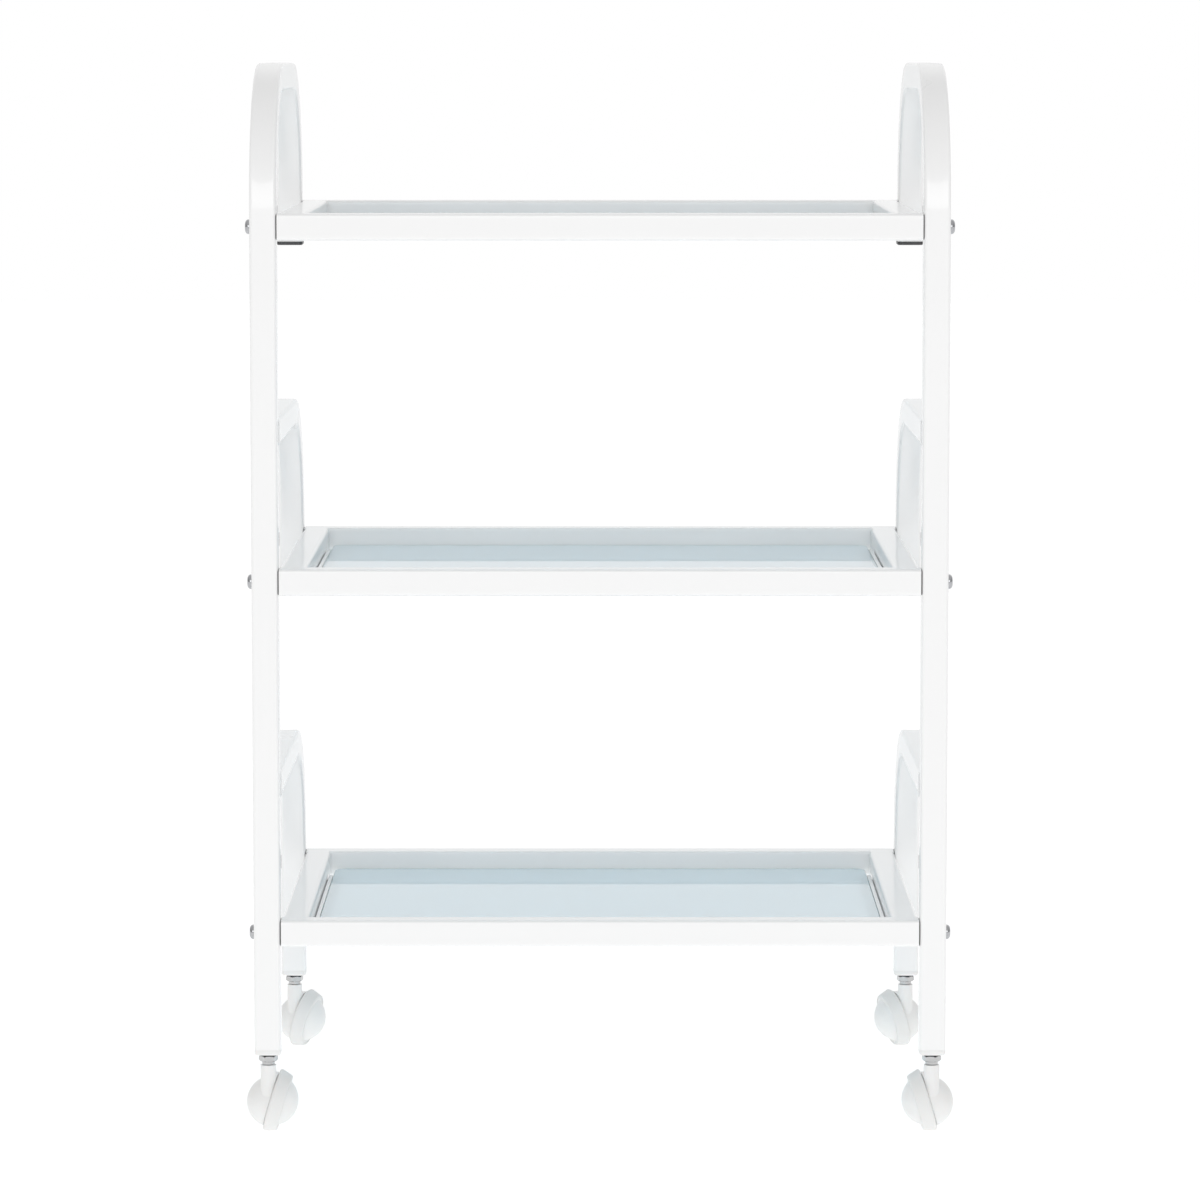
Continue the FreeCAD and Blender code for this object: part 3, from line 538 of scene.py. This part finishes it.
def pane_glass():
    material, shader, add, link = node_material("pale_blue_glass")
    place = add("ShaderNodeTexCoord")
    ream = add("ShaderNodeTexNoise", Scale=5.0, Detail=2.0)
    tint = add("ShaderNodeMix", data_type="RGBA")
    tint.inputs["A"].default_value = (0.71, 0.885, 0.965, 1)
    tint.inputs["B"].default_value = (0.73, 0.895, 0.970, 1)
    haze = add("ShaderNodeMapRange")
    haze.inputs["To Min"].default_value = 0.0
    haze.inputs["To Max"].default_value = 0.035
    link(place.outputs["Object"], ream.inputs["Vector"])
    link(ream.outputs["Fac"], tint.inputs["Factor"])
    link(tint.outputs["Result"], shader.inputs["Base Color"])
    link(ream.outputs["Fac"], haze.inputs["Value"])
    link(haze.outputs["Result"], shader.inputs["Roughness"])
    shader.inputs["Transmission Weight"].default_value = 0.36
    shader.inputs["IOR"].default_value = 1.5
    return material


def polished_glass_edge():
    material, shader, add, link = node_material("polished_glass_edge")
    place = add("ShaderNodeTexCoord")
    grind = add("ShaderNodeTexNoise", Scale=260.0, Detail=3.0)
    tint = add("ShaderNodeMix", data_type="RGBA")
    tint.inputs["A"].default_value = (0.25, 0.50, 0.52, 1)
    tint.inputs["B"].default_value = (0.38, 0.62, 0.64, 1)
    link(place.outputs["Object"], grind.inputs["Vector"])
    link(grind.outputs["Fac"], tint.inputs["Factor"])
    link(tint.outputs["Result"], shader.inputs["Base Color"])
    shader.inputs["Roughness"].default_value = 0.12
    shader.inputs["Transmission Weight"].default_value = 0.6
    shader.inputs["IOR"].default_value = 1.5
    return material


tinted_glass = pane_glass()
glass_edge = polished_glass_edge()
glass_corner = 9 * MM
glass_seam = 0.6 * MM


def glass_pane(level):
    low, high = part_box(f"{level}_glass")
    middle = (low + high) / 2
    shape = bmesh.new()
    rings = []
    for height, inset in ((low.z, glass_seam), (low.z + 0.2 * MM, 0.25 * MM),
                          (low.z + glass_seam, 0), (high.z - glass_seam, 0),
                          (high.z - 0.2 * MM, 0.25 * MM), (high.z, glass_seam)):
        outline = rounded_outline((high.x - low.x) / 2 - inset, (high.y - low.y) / 2 - inset,
                                  glass_corner - inset, 12)
        rings.append([(middle.x + u, middle.y + v, height) for u, v in outline])
    made = joined_rings(shape, rings, material=1)
    shape.faces.new(list(reversed(made[0])))
    shape.faces.new(made[-1])
    piece = finished(f"{level}_glass_pane", shape, tinted_glass, glass_edge, sharp=20)
    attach(piece, f"{level}_glass_panel")
    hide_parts(f"{level}_glass")


for level in levels:
    glass_pane(level)


# ---- end caps and rail inserts -----------------------------------------------------------------
# Black moulded plugs close the short rear legs, with a chamfered flange that stands a little
# proud of the tube. The threaded inserts of the cross rails are of the same plastic, and only
# the edge of their flange shows, as a thin line against the leg.

def moulded_black():
    material, shader, add, link = node_material("moulded_black_plastic")
    place = add("ShaderNodeTexCoord")
    cloud = add("ShaderNodeTexNoise", Scale=60.0, Detail=3.0)
    tone = add("ShaderNodeMix", data_type="RGBA")
    tone.inputs["A"].default_value = (0.022, 0.022, 0.024, 1)
    tone.inputs["B"].default_value = (0.040, 0.040, 0.042, 1)
    spark = add("ShaderNodeTexNoise", Scale=1600.0, Detail=2.0)
    raised = add("ShaderNodeBump", Strength=0.25, Distance=0.00006)
    link(place.outputs["Object"], cloud.inputs["Vector"])
    link(place.outputs["Object"], spark.inputs["Vector"])
    link(cloud.outputs["Fac"], tone.inputs["Factor"])
    link(tone.outputs["Result"], shader.inputs["Base Color"])
    link(spark.outputs["Fac"], raised.inputs["Height"])
    link(raised.outputs["Normal"], shader.inputs["Normal"])
    shader.inputs["Roughness"].default_value = 0.42
    return material


black_plastic = moulded_black()


def stacked_squares(shape, middle_x, middle_y, rows, first_cap=True, last_cap=True):
    """Skin round-cornered squares one above the other; a row is height, half side, corner."""
    rings = []
    for height, half, corner in rows:
        rings.append([(middle_x + u, middle_y + v, height)
                      for u, v in rounded_outline(half, half, corner, 6)])
    return joined_rings(shape, rings, first_cap=first_cap, last_cap=last_cap)


def end_cap(hand, level):
    node = f"{hand}_{level}_end_cap"
    low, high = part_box(node)
    x, y = (low.x + high.x) / 2, (low.y + high.y) / 2
    half = (high.x - low.x) / 2
    corner = tube_corner + half - tube_side / 2
    plug = tube_side / 2 - tube_wall - 0.1 * MM
    z = low.z
    shape = bmesh.new()
    stacked_squares(shape, x, y, [
        (z + 0.35 * MM, half * 0.60, 1.6 * MM), (z + 0.35 * MM, half * 0.66, 1.8 * MM),
        (z, half * 0.70, 1.9 * MM), (z, half - 1.0 * MM, corner - 1.0 * MM),
        (z + 0.1 * MM, half - 0.72 * MM, corner - 0.72 * MM),
        (z + 0.72 * MM, half - 0.1 * MM, corner - 0.1 * MM),
        (z + 1.0 * MM, half, corner), (z + cap_flange - 0.3 * MM, half, corner),
        (z + cap_flange, half - 0.3 * MM, corner - 0.3 * MM),
        (z + cap_flange, plug, 1.5 * MM), (high.z - 1.5 * MM, plug, 1.5 * MM),
        (high.z, plug - 0.8 * MM, 0.9 * MM)])
    piece = finished(f"{hand}_{level}_leg_plug", shape, black_plastic, sharp=50)
    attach(piece, "frame")
    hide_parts(node)


for hand in ("left", "right"):
    for level in ("top", "middle"):
        end_cap(hand, level)
for level in levels:
    frame["nodes"][f"{level}_rail_inserts"].material_slots[0].material = black_plastic


# ---- frame bolts -------------------------------------------------------------------------------
# Chrome-plated M6 button heads with a hexagon socket go through the legs into the rail
# inserts. They are turned, rolled and plated, and tightened until they sit flat on the leg.

def bright_chrome():
    material, shader, add, link = node_material("bright_chrome")
    place = add("ShaderNodeTexCoord")
    cloud = add("ShaderNodeTexNoise", Scale=350.0, Detail=3.0)
    rough = add("ShaderNodeMapRange")
    rough.inputs["To Min"].default_value = 0.05
    rough.inputs["To Max"].default_value = 0.13
    tone = add("ShaderNodeMix", data_type="RGBA")
    tone.inputs["A"].default_value = (0.34, 0.345, 0.36, 1)
    tone.inputs["B"].default_value = (0.50, 0.505, 0.52, 1)
    link(place.outputs["Object"], cloud.inputs["Vector"])
    link(cloud.outputs["Fac"], rough.inputs["Value"])
    link(rough.outputs["Result"], shader.inputs["Roughness"])
    link(cloud.outputs["Fac"], tone.inputs["Factor"])
    link(tone.outputs["Result"], shader.inputs["Base Color"])
    shader.inputs["Metallic"].default_value = 1.0
    return material


chrome = bright_chrome()
bolt_head_radius = 5.9 * MM
bolt_head_height = 3.6 * MM
bolt_shank_radius = 3 * MM
bolt_length = 33 * MM
socket_corner_radius = 2.3 * MM
socket_depth = 2 * MM
rim_height = 1 * MM
around = 48


def hexagon_reach(turn, corner_radius):
    """From a hexagon's middle to its edge in one direction."""
    within = (turn + math.pi / 6) % (math.pi / 3) - math.pi / 6
    return corner_radius * math.cos(math.pi / 6) / math.cos(within)


def turned_rings(middle, axis, across, rows):
    """Rings round an axis; a row is the distance along it and a radius, or a hexagon's."""
    up = axis.cross(across)
    rings = []
    for along, radius, hexagonal in rows:
        ring = []
        for step in range(around):
            turn = 2 * math.pi * step / around
            reach = hexagon_reach(turn, radius) if hexagonal else radius
            ring.append(middle + axis * along
                        + (across * math.cos(turn) + up * math.sin(turn)) * reach)
        rings.append(ring)
    return rings


def frame_bolt(shape, head_base, outward, turn, length):
    """A bolt whose head's flat side lies at head_base and faces outward."""
    across = Matrix.Rotation(turn, 3, outward) @ z_axis
    rows = [(-length, 0.6 * bolt_shank_radius, False), (-length, bolt_shank_radius, False)]
    rows += [(-0.05 * MM, bolt_shank_radius, False), (0, bolt_head_radius - 0.25 * MM, False),
             (0.25 * MM, bolt_head_radius, False), (rim_height, bolt_head_radius, False)]
    crown = bolt_head_height - rim_height
    for step in range(1, 9):
        angle = math.radians(step * 72 / 8)
        rows.append((rim_height + crown * math.sin(angle) / math.sin(math.radians(72)),
                     bolt_head_radius - 2.5 * MM * (1 - math.cos(angle)) / 0.69, False))
    rows += [(bolt_head_height, socket_corner_radius + 0.25 * MM, False),
             (bolt_head_height - 0.2 * MM, socket_corner_radius, True),
             (bolt_head_height - socket_depth, socket_corner_radius, True),
             (bolt_head_height - socket_depth - 0.4 * MM, 0.3 * MM, False)]
    joined_rings(shape, turned_rings(head_base, outward, across, rows),
                 first_cap=True, last_cap=True)


for level in levels:
    rail_low, rail_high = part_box(f"{level}_front_rail")
    height = (rail_low.z + rail_high.z) / 2
    bolts_low, bolts_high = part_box(f"{level}_frame_bolts")
    shape = bmesh.new()
    for number, (side, end) in enumerate(((-1, "front"), (1, "front"), (-1, "rear"),
                                          (1, "rear"))):
        low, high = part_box(f"{level}_{end}_rail")
        face_x = (bolts_low.x + bolt_head_height if side < 0
                  else bolts_high.x - bolt_head_height)
        base = Vector((face_x, (low.y + high.y) / 2, height))
        frame_bolt(shape, base, Vector((side, 0, 0)), 0.4 + 0.7 * number, bolt_length)
    piece = finished(f"{level}_button_bolts", shape, chrome, sharp=30)
    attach(piece, "frame")
    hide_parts(f"{level}_frame_bolts")


# ---- foot inserts ------------------------------------------------------------------------------
# White moulded nylon plugs close the feet of the four long legs. Their rounded foot shows
# below the tube, and the caster's stem screws up through it.

def moulded_white(name, light, dark, rough):
    material, shader, add, link = node_material(name)
    place = add("ShaderNodeTexCoord")
    cloud = add("ShaderNodeTexNoise", Scale=45.0, Detail=4.0)
    tone = add("ShaderNodeMix", data_type="RGBA")
    tone.inputs["A"].default_value = (*dark, 1)
    tone.inputs["B"].default_value = (*light, 1)
    spark = add("ShaderNodeTexNoise", Scale=1400.0, Detail=2.0)
    gloss = add("ShaderNodeMapRange")
    gloss.inputs["To Min"].default_value = rough - 0.05
    gloss.inputs["To Max"].default_value = rough + 0.07
    raised = add("ShaderNodeBump", Strength=0.12, Distance=0.00005)
    link(place.outputs["Object"], cloud.inputs["Vector"])
    link(place.outputs["Object"], spark.inputs["Vector"])
    link(cloud.outputs["Fac"], tone.inputs["Factor"])
    link(tone.outputs["Result"], shader.inputs["Base Color"])
    link(cloud.outputs["Fac"], gloss.inputs["Value"])
    link(gloss.outputs["Result"], shader.inputs["Roughness"])
    link(spark.outputs["Fac"], raised.inputs["Height"])
    link(raised.outputs["Normal"], shader.inputs["Normal"])
    shader.inputs["Subsurface Weight"].default_value = 0.12
    shader.inputs["Subsurface Radius"].default_value = (0.004, 0.003, 0.0025)
    shader.inputs["Subsurface Scale"].default_value = 0.4
    return material


white_nylon = moulded_white("moulded_white_nylon", (0.87, 0.87, 0.86), (0.835, 0.835, 0.825), 0.30)
corners = ("front_left", "front_right", "rear_left", "rear_right")
stem_places = {corner: Vector(joints[f"{corner}_swivel"]["pos_m"]) for corner in corners}
foot_low, foot_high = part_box("foot_inserts")
foot_flange = 4.5 * MM
foot_round = 2.3 * MM
stem_radius = 4 * MM

shape = bmesh.new()
for corner in corners:
    place = stem_places[corner]
    half, plug = tube_side / 2, tube_side / 2 - tube_wall - 0.1 * MM
    rows = []
    for step in range(7):
        angle = math.radians(90 * step / 6)
        inset = foot_round * (1 - math.sin(angle))
        rows.append((foot_low.z + foot_round * (1 - math.cos(angle)), half - inset,
                     max(tube_corner - inset, 0.35 * MM)))
    line = foot_low.z + foot_flange
    rows += [(line - 0.25 * MM, half, tube_corner), (line, half - 0.25 * MM, tube_corner),
             (line, plug, 1.5 * MM), (foot_high.z - 1 * MM, plug, 1.5 * MM),
             (foot_high.z, plug - 0.6 * MM, 1 * MM)]
    stacked_squares(shape, place.x, place.y, rows)
feet = finished("leg_foot_plugs", shape, white_nylon, sharp=50)
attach(feet, "frame")
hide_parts("foot_inserts")


# ---- caster stems and lock nuts ------------------------------------------------------------------
# An M8 zinc-plated stem screws into each foot, with a collar that carries the load, and a thin
# hexagon nut with chamfered corners locks it.

def plated_zinc():
    material, shader, add, link = node_material("bright_zinc_plate")
    place = add("ShaderNodeTexCoord")
    cloud = add("ShaderNodeTexNoise", Scale=220.0, Detail=4.0)
    rough = add("ShaderNodeMapRange")
    rough.inputs["To Min"].default_value = 0.10
    rough.inputs["To Max"].default_value = 0.22
    tone = add("ShaderNodeMix", data_type="RGBA")
    tone.inputs["A"].default_value = (0.42, 0.42, 0.42, 1)
    tone.inputs["B"].default_value = (0.56, 0.56, 0.56, 1)
    link(place.outputs["Object"], cloud.inputs["Vector"])
    link(cloud.outputs["Fac"], rough.inputs["Value"])
    link(rough.outputs["Result"], shader.inputs["Roughness"])
    link(cloud.outputs["Fac"], tone.inputs["Factor"])
    link(tone.outputs["Result"], shader.inputs["Base Color"])
    shader.inputs["Metallic"].default_value = 1.0
    return material


# Near-black colour for the washers: painted shade, standing in for the shadowed band where the nut
# meets the underside of the foot.
def washer_black_painted_shade():
    material, shader, add, link = node_material("painted_shade_washer_black")
    place = add("ShaderNodeTexCoord")
    cloud = add("ShaderNodeTexNoise", Scale=500.0, Detail=3.0)
    tone = add("ShaderNodeMix", data_type="RGBA")
    tone.inputs["A"].default_value = (0.015, 0.015, 0.017, 1)
    tone.inputs["B"].default_value = (0.04, 0.04, 0.042, 1)
    link(place.outputs["Object"], cloud.inputs["Vector"])
    link(cloud.outputs["Fac"], tone.inputs["Factor"])
    link(tone.outputs["Result"], shader.inputs["Base Color"])
    shader.inputs["Metallic"].default_value = 0.6
    shader.inputs["Roughness"].default_value = 0.4
    return material


zinc = plated_zinc()
stems_low, stems_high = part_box("caster_stems")
nuts_low, nuts_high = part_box("caster_lock_nuts")
collar_low = 55.95 * MM
collar_radius = 5.1 * MM
spigot_radius = 3.2 * MM
thread_pitch = 1.25 * MM
thread_depth = 0.5 * MM
nut_flats = 13.4 * MM
nut_corner_radius = nut_flats / 2 / math.cos(math.pi / 6)
washer_thickness = 1.0 * MM
nut_top = nuts_high.z - washer_thickness
nut_base = nuts_low.z + 0.7 * MM
nut_bore = stem_radius + 0.02 * MM
# how far in from a face the cone that cuts the nut's corners back has each radius
nut_cone = ((0, 5 * MM), (0, 6.4 * MM), (0.35 * MM, 6.85 * MM), (0.8 * MM, 7.4 * MM),
            (1.1 * MM, 9 * MM))
washer_tooth = 0.25 * MM
nut_turns = {"front_left": 0.16, "front_right": -0.16, "rear_left": 0.30, "rear_right": -0.30}


def stem_ring(middle, height, across, reach):
    """A level ring round a stem; reach gives its radius at each turn from across."""
    up = z_axis.cross(across)
    ring = []
    for step in range(96):
        turn = math.tau * step / 96
        ring.append(middle + z_axis * height
                    + (across * math.cos(turn) + up * math.sin(turn)) * reach(turn))
    return ring


shape = bmesh.new()
nut_shape = bmesh.new()
washer_shape = bmesh.new()
for corner in corners:
    place = stem_places[corner].copy()
    place.z = 0
    rows = [(stems_low.z, 2.4 * MM, False), (stems_low.z + 0.8 * MM, spigot_radius, False),
            (collar_low, spigot_radius, False), (collar_low, collar_radius - 0.2 * MM, False),
            (collar_low + 0.2 * MM, collar_radius, False),
            (nut_base - 0.2 * MM, collar_radius, False),
            (nut_base, collar_radius - 0.2 * MM, False), (nut_base, stem_radius, False)]
    height = nut_base
    while height < stems_high.z - 2 * thread_pitch:
        rows += [(height + 0.15 * thread_pitch, stem_radius, False),
                 (height + 0.50 * thread_pitch, stem_radius - thread_depth, False),
                 (height + 0.85 * thread_pitch, stem_radius, False)]
        height += thread_pitch
    rows += [(stems_high.z - 0.8 * MM, stem_radius, False),
             (stems_high.z, stem_radius - 0.8 * MM, False)]
    joined_rings(shape, turned_rings(place, z_axis, x_axis, rows),
                 first_cap=True, last_cap=True)

    turned = Matrix.Rotation(math.pi / 6 + nut_turns[corner], 3, z_axis) @ x_axis
    faces = [(nut_base + inward, circle) for inward, circle in nut_cone]
    faces += [(nut_top - inward, circle) for inward, circle in reversed(nut_cone)]
    rings = [stem_ring(place, height, turned,
                       lambda turn: min(circle, hexagon_reach(turn, nut_corner_radius)))
             for height, circle in faces]
    rings += [stem_ring(place, height, turned, lambda turn: nut_bore)
              for height in (nut_top, nut_base)]
    joined_rings(nut_shape, rings, closed=True)

    # a toothed washer between the nut and the foot, near-black as painted shade for the shadowed band
    # there
    rings = []
    for height, radius, tooth in ((nut_top, 4.2 * MM, 0), (nut_top, 7.0 * MM, washer_tooth),
                                  (nut_top + 0.2 * MM, 7.3 * MM, washer_tooth),
                                  (nuts_high.z - 0.1 * MM, 7.3 * MM, washer_tooth),
                                  (nuts_high.z, 7.0 * MM, washer_tooth),
                                  (nuts_high.z, 4.2 * MM, 0)):
        rings.append(stem_ring(place, height, x_axis,
                               lambda turn: radius + tooth * math.cos(16 * turn)))
    joined_rings(washer_shape, rings, closed=True)
stems = finished("threaded_stems", shape, zinc, sharp=40)
nuts = finished("hexagon_lock_nuts", nut_shape, zinc, sharp=25)
washers = finished("toothed_washers_painted_shade", washer_shape, washer_black_painted_shade(), sharp=30)
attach(washers, "frame")
for piece, node in ((stems, "caster_stems"), (nuts, "caster_lock_nuts")):
    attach(piece, "frame")
    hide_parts(node)


# ---- casters: hoods ------------------------------------------------------------------------------
# The hood is one white nylon moulding: part of a ball over the wheel, with a socket for the
# stem and a web behind it, and soft edges where the mould's parts meet.

hood_voxel = 0.34 * MM


def caster_hood(corner):
    source = frame["nodes"][f"{corner}_hood"]
    mesh = source.data.copy()
    piece = bpy.data.objects.new(f"{corner}_ball_hood", mesh)
    bpy.context.scene.collection.objects.link(piece)
    mesh.materials.clear()
    mesh.materials.append(white_nylon)
    remesh = piece.modifiers.new("one_skin", "REMESH")
    remesh.mode = "VOXEL"
    remesh.voxel_size = hood_voxel
    remesh.use_smooth_shade = True
    soften = piece.modifiers.new("soft_edges", "SMOOTH")
    soften.factor = 0.5
    soften.iterations = 3
    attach(piece, f"{corner}_caster")
    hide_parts(f"{corner}_hood")
    return piece


for corner in corners:
    caster_hood(corner)
    frame["nodes"][f"{corner}_axle"].material_slots[0].material = zinc


# ---- casters: hubs and tyres -----------------------------------------------------------------------
# The wheel is a nylon hub with a dome that completes the ball, hollow on the hood's side, and
# a grey-white rubber tyre moulded round it. The tread is a cone, so it lies flat on the floor.

white_rubber = moulded_white("non_marking_rubber", (0.815, 0.815, 0.805), (0.77, 0.77, 0.76), 0.50)
wheel_lean = 16.5
wheel_offset = 4.9 * MM
tyre_width = 11 * MM
tyre_radius = 24.3 * MM
tyre_bore = 20.2 * MM
tyre_edge = 1.9 * MM
ball_radius = 20.8 * MM
tyre_swell = 0.4 * MM
tyre_lip = 0.27 * MM


def lathed(shape, middle, axis, profile, steps=96):
    """Turn a closed profile of (along, radius) points round an axis."""
    across = axis.cross(z_axis).normalized()
    up = axis.cross(across)
    rings = []
    for step in range(steps):
        turn = math.tau * step / steps
        outward = across * math.cos(turn) + up * math.sin(turn)
        rings.append([middle + axis * along + outward * radius for along, radius in profile])
    joined_rings(shape, rings, closed=True)


def rounding(centre_along, centre_radius, radius, first, last, steps=6):
    """Points of an arc in a lathe profile; 0 degrees is along the axis, 90 outward."""
    points = []
    for step in range(steps + 1):
        turn = math.radians(first + (last - first) * step / steps)
        points.append((centre_along + radius * math.cos(turn),
                       centre_radius + radius * math.sin(turn)))
    return points


def wheel(corner):
    joint = joints[f"{corner}_roll"]
    middle = Vector(joint["pos_m"])
    axis = Vector(joint["axis"]).normalized()
    inner = wheel_offset - tyre_width / 2
    outer = wheel_offset + tyre_width / 2
    tip = 0.02 * MM
    profile = [(ball_radius, tip)]
    dome_end = math.degrees(math.asin(math.sqrt(1 - (outer / ball_radius) ** 2)))
    for step in range(1, 31):
        angle = math.radians(dome_end * step / 30)
        profile.append((ball_radius * math.cos(angle), ball_radius * math.sin(angle)))
    profile += [(outer - 0.45 * MM, profile[-1][1] + 0.35 * MM),
                (outer - 0.45 * MM, tyre_bore - 0.5 * MM), (outer - 0.1 * MM, tyre_bore - 0.15 * MM),
                (outer - 0.3 * MM, tyre_bore), (inner + 0.3 * MM, tyre_bore)]
    profile += rounding(inner + 0.3 * MM, tyre_bore - 0.3 * MM, 0.3 * MM, 90, 180, 3)
    rim, floor, boss = 18.4 * MM, inner + 7.6 * MM, 4.8 * MM
    profile += [(inner, rim + 0.2 * MM), (inner + 0.2 * MM, rim), (floor - 0.5 * MM, rim),
                (floor, rim - 0.5 * MM), (floor, boss + 0.4 * MM), (floor - 0.4 * MM, boss),
                (inner, boss), (inner, 2.55 * MM), (12.8 * MM, 2.55 * MM), (12.8 * MM, tip)]
    shape = bmesh.new()
    lathed(shape, middle, axis, profile)
    bmesh.ops.remove_doubles(shape, verts=shape.verts, dist=0.003 * MM)
    hub = finished(f"{corner}_domed_hub", shape, white_nylon, sharp=40)
    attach(hub, f"{corner}_wheel")
    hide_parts(f"{corner}_wheel_hub")

    slope = math.tan(math.radians(wheel_lean))
    rounded_away = tyre_edge / math.cos(math.radians(wheel_lean))
    inner -= tyre_swell
    profile = [(inner - tyre_lip, tyre_bore + 0.05 * MM), (inner - tyre_lip, tyre_bore + 0.7 * MM),
               (inner - 0.03 * MM, tyre_bore + 1.1 * MM), (inner, tyre_bore + 1.2 * MM)]
    reach_in = inner + tyre_edge
    reach_out = outer - tyre_edge
    radius_in = tyre_radius - (reach_in - wheel_offset) * slope - rounded_away
    radius_out = tyre_radius - (reach_out - wheel_offset) * slope - rounded_away
    profile += rounding(reach_in, radius_in, tyre_edge, 180, 90 - wheel_lean, 9)
    profile += rounding(reach_out, radius_out, tyre_edge, 90 - wheel_lean, 0, 9)
    profile += [(outer, tyre_bore + 0.05 * MM)]
    shape = bmesh.new()
    lathed(shape, middle, axis, profile, 128)
    ring = finished(f"{corner}_tyre_ring", shape, white_rubber, sharp=50)
    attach(ring, f"{corner}_wheel")
    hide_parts(f"{corner}_tyre")


for corner in corners:
    wheel(corner)
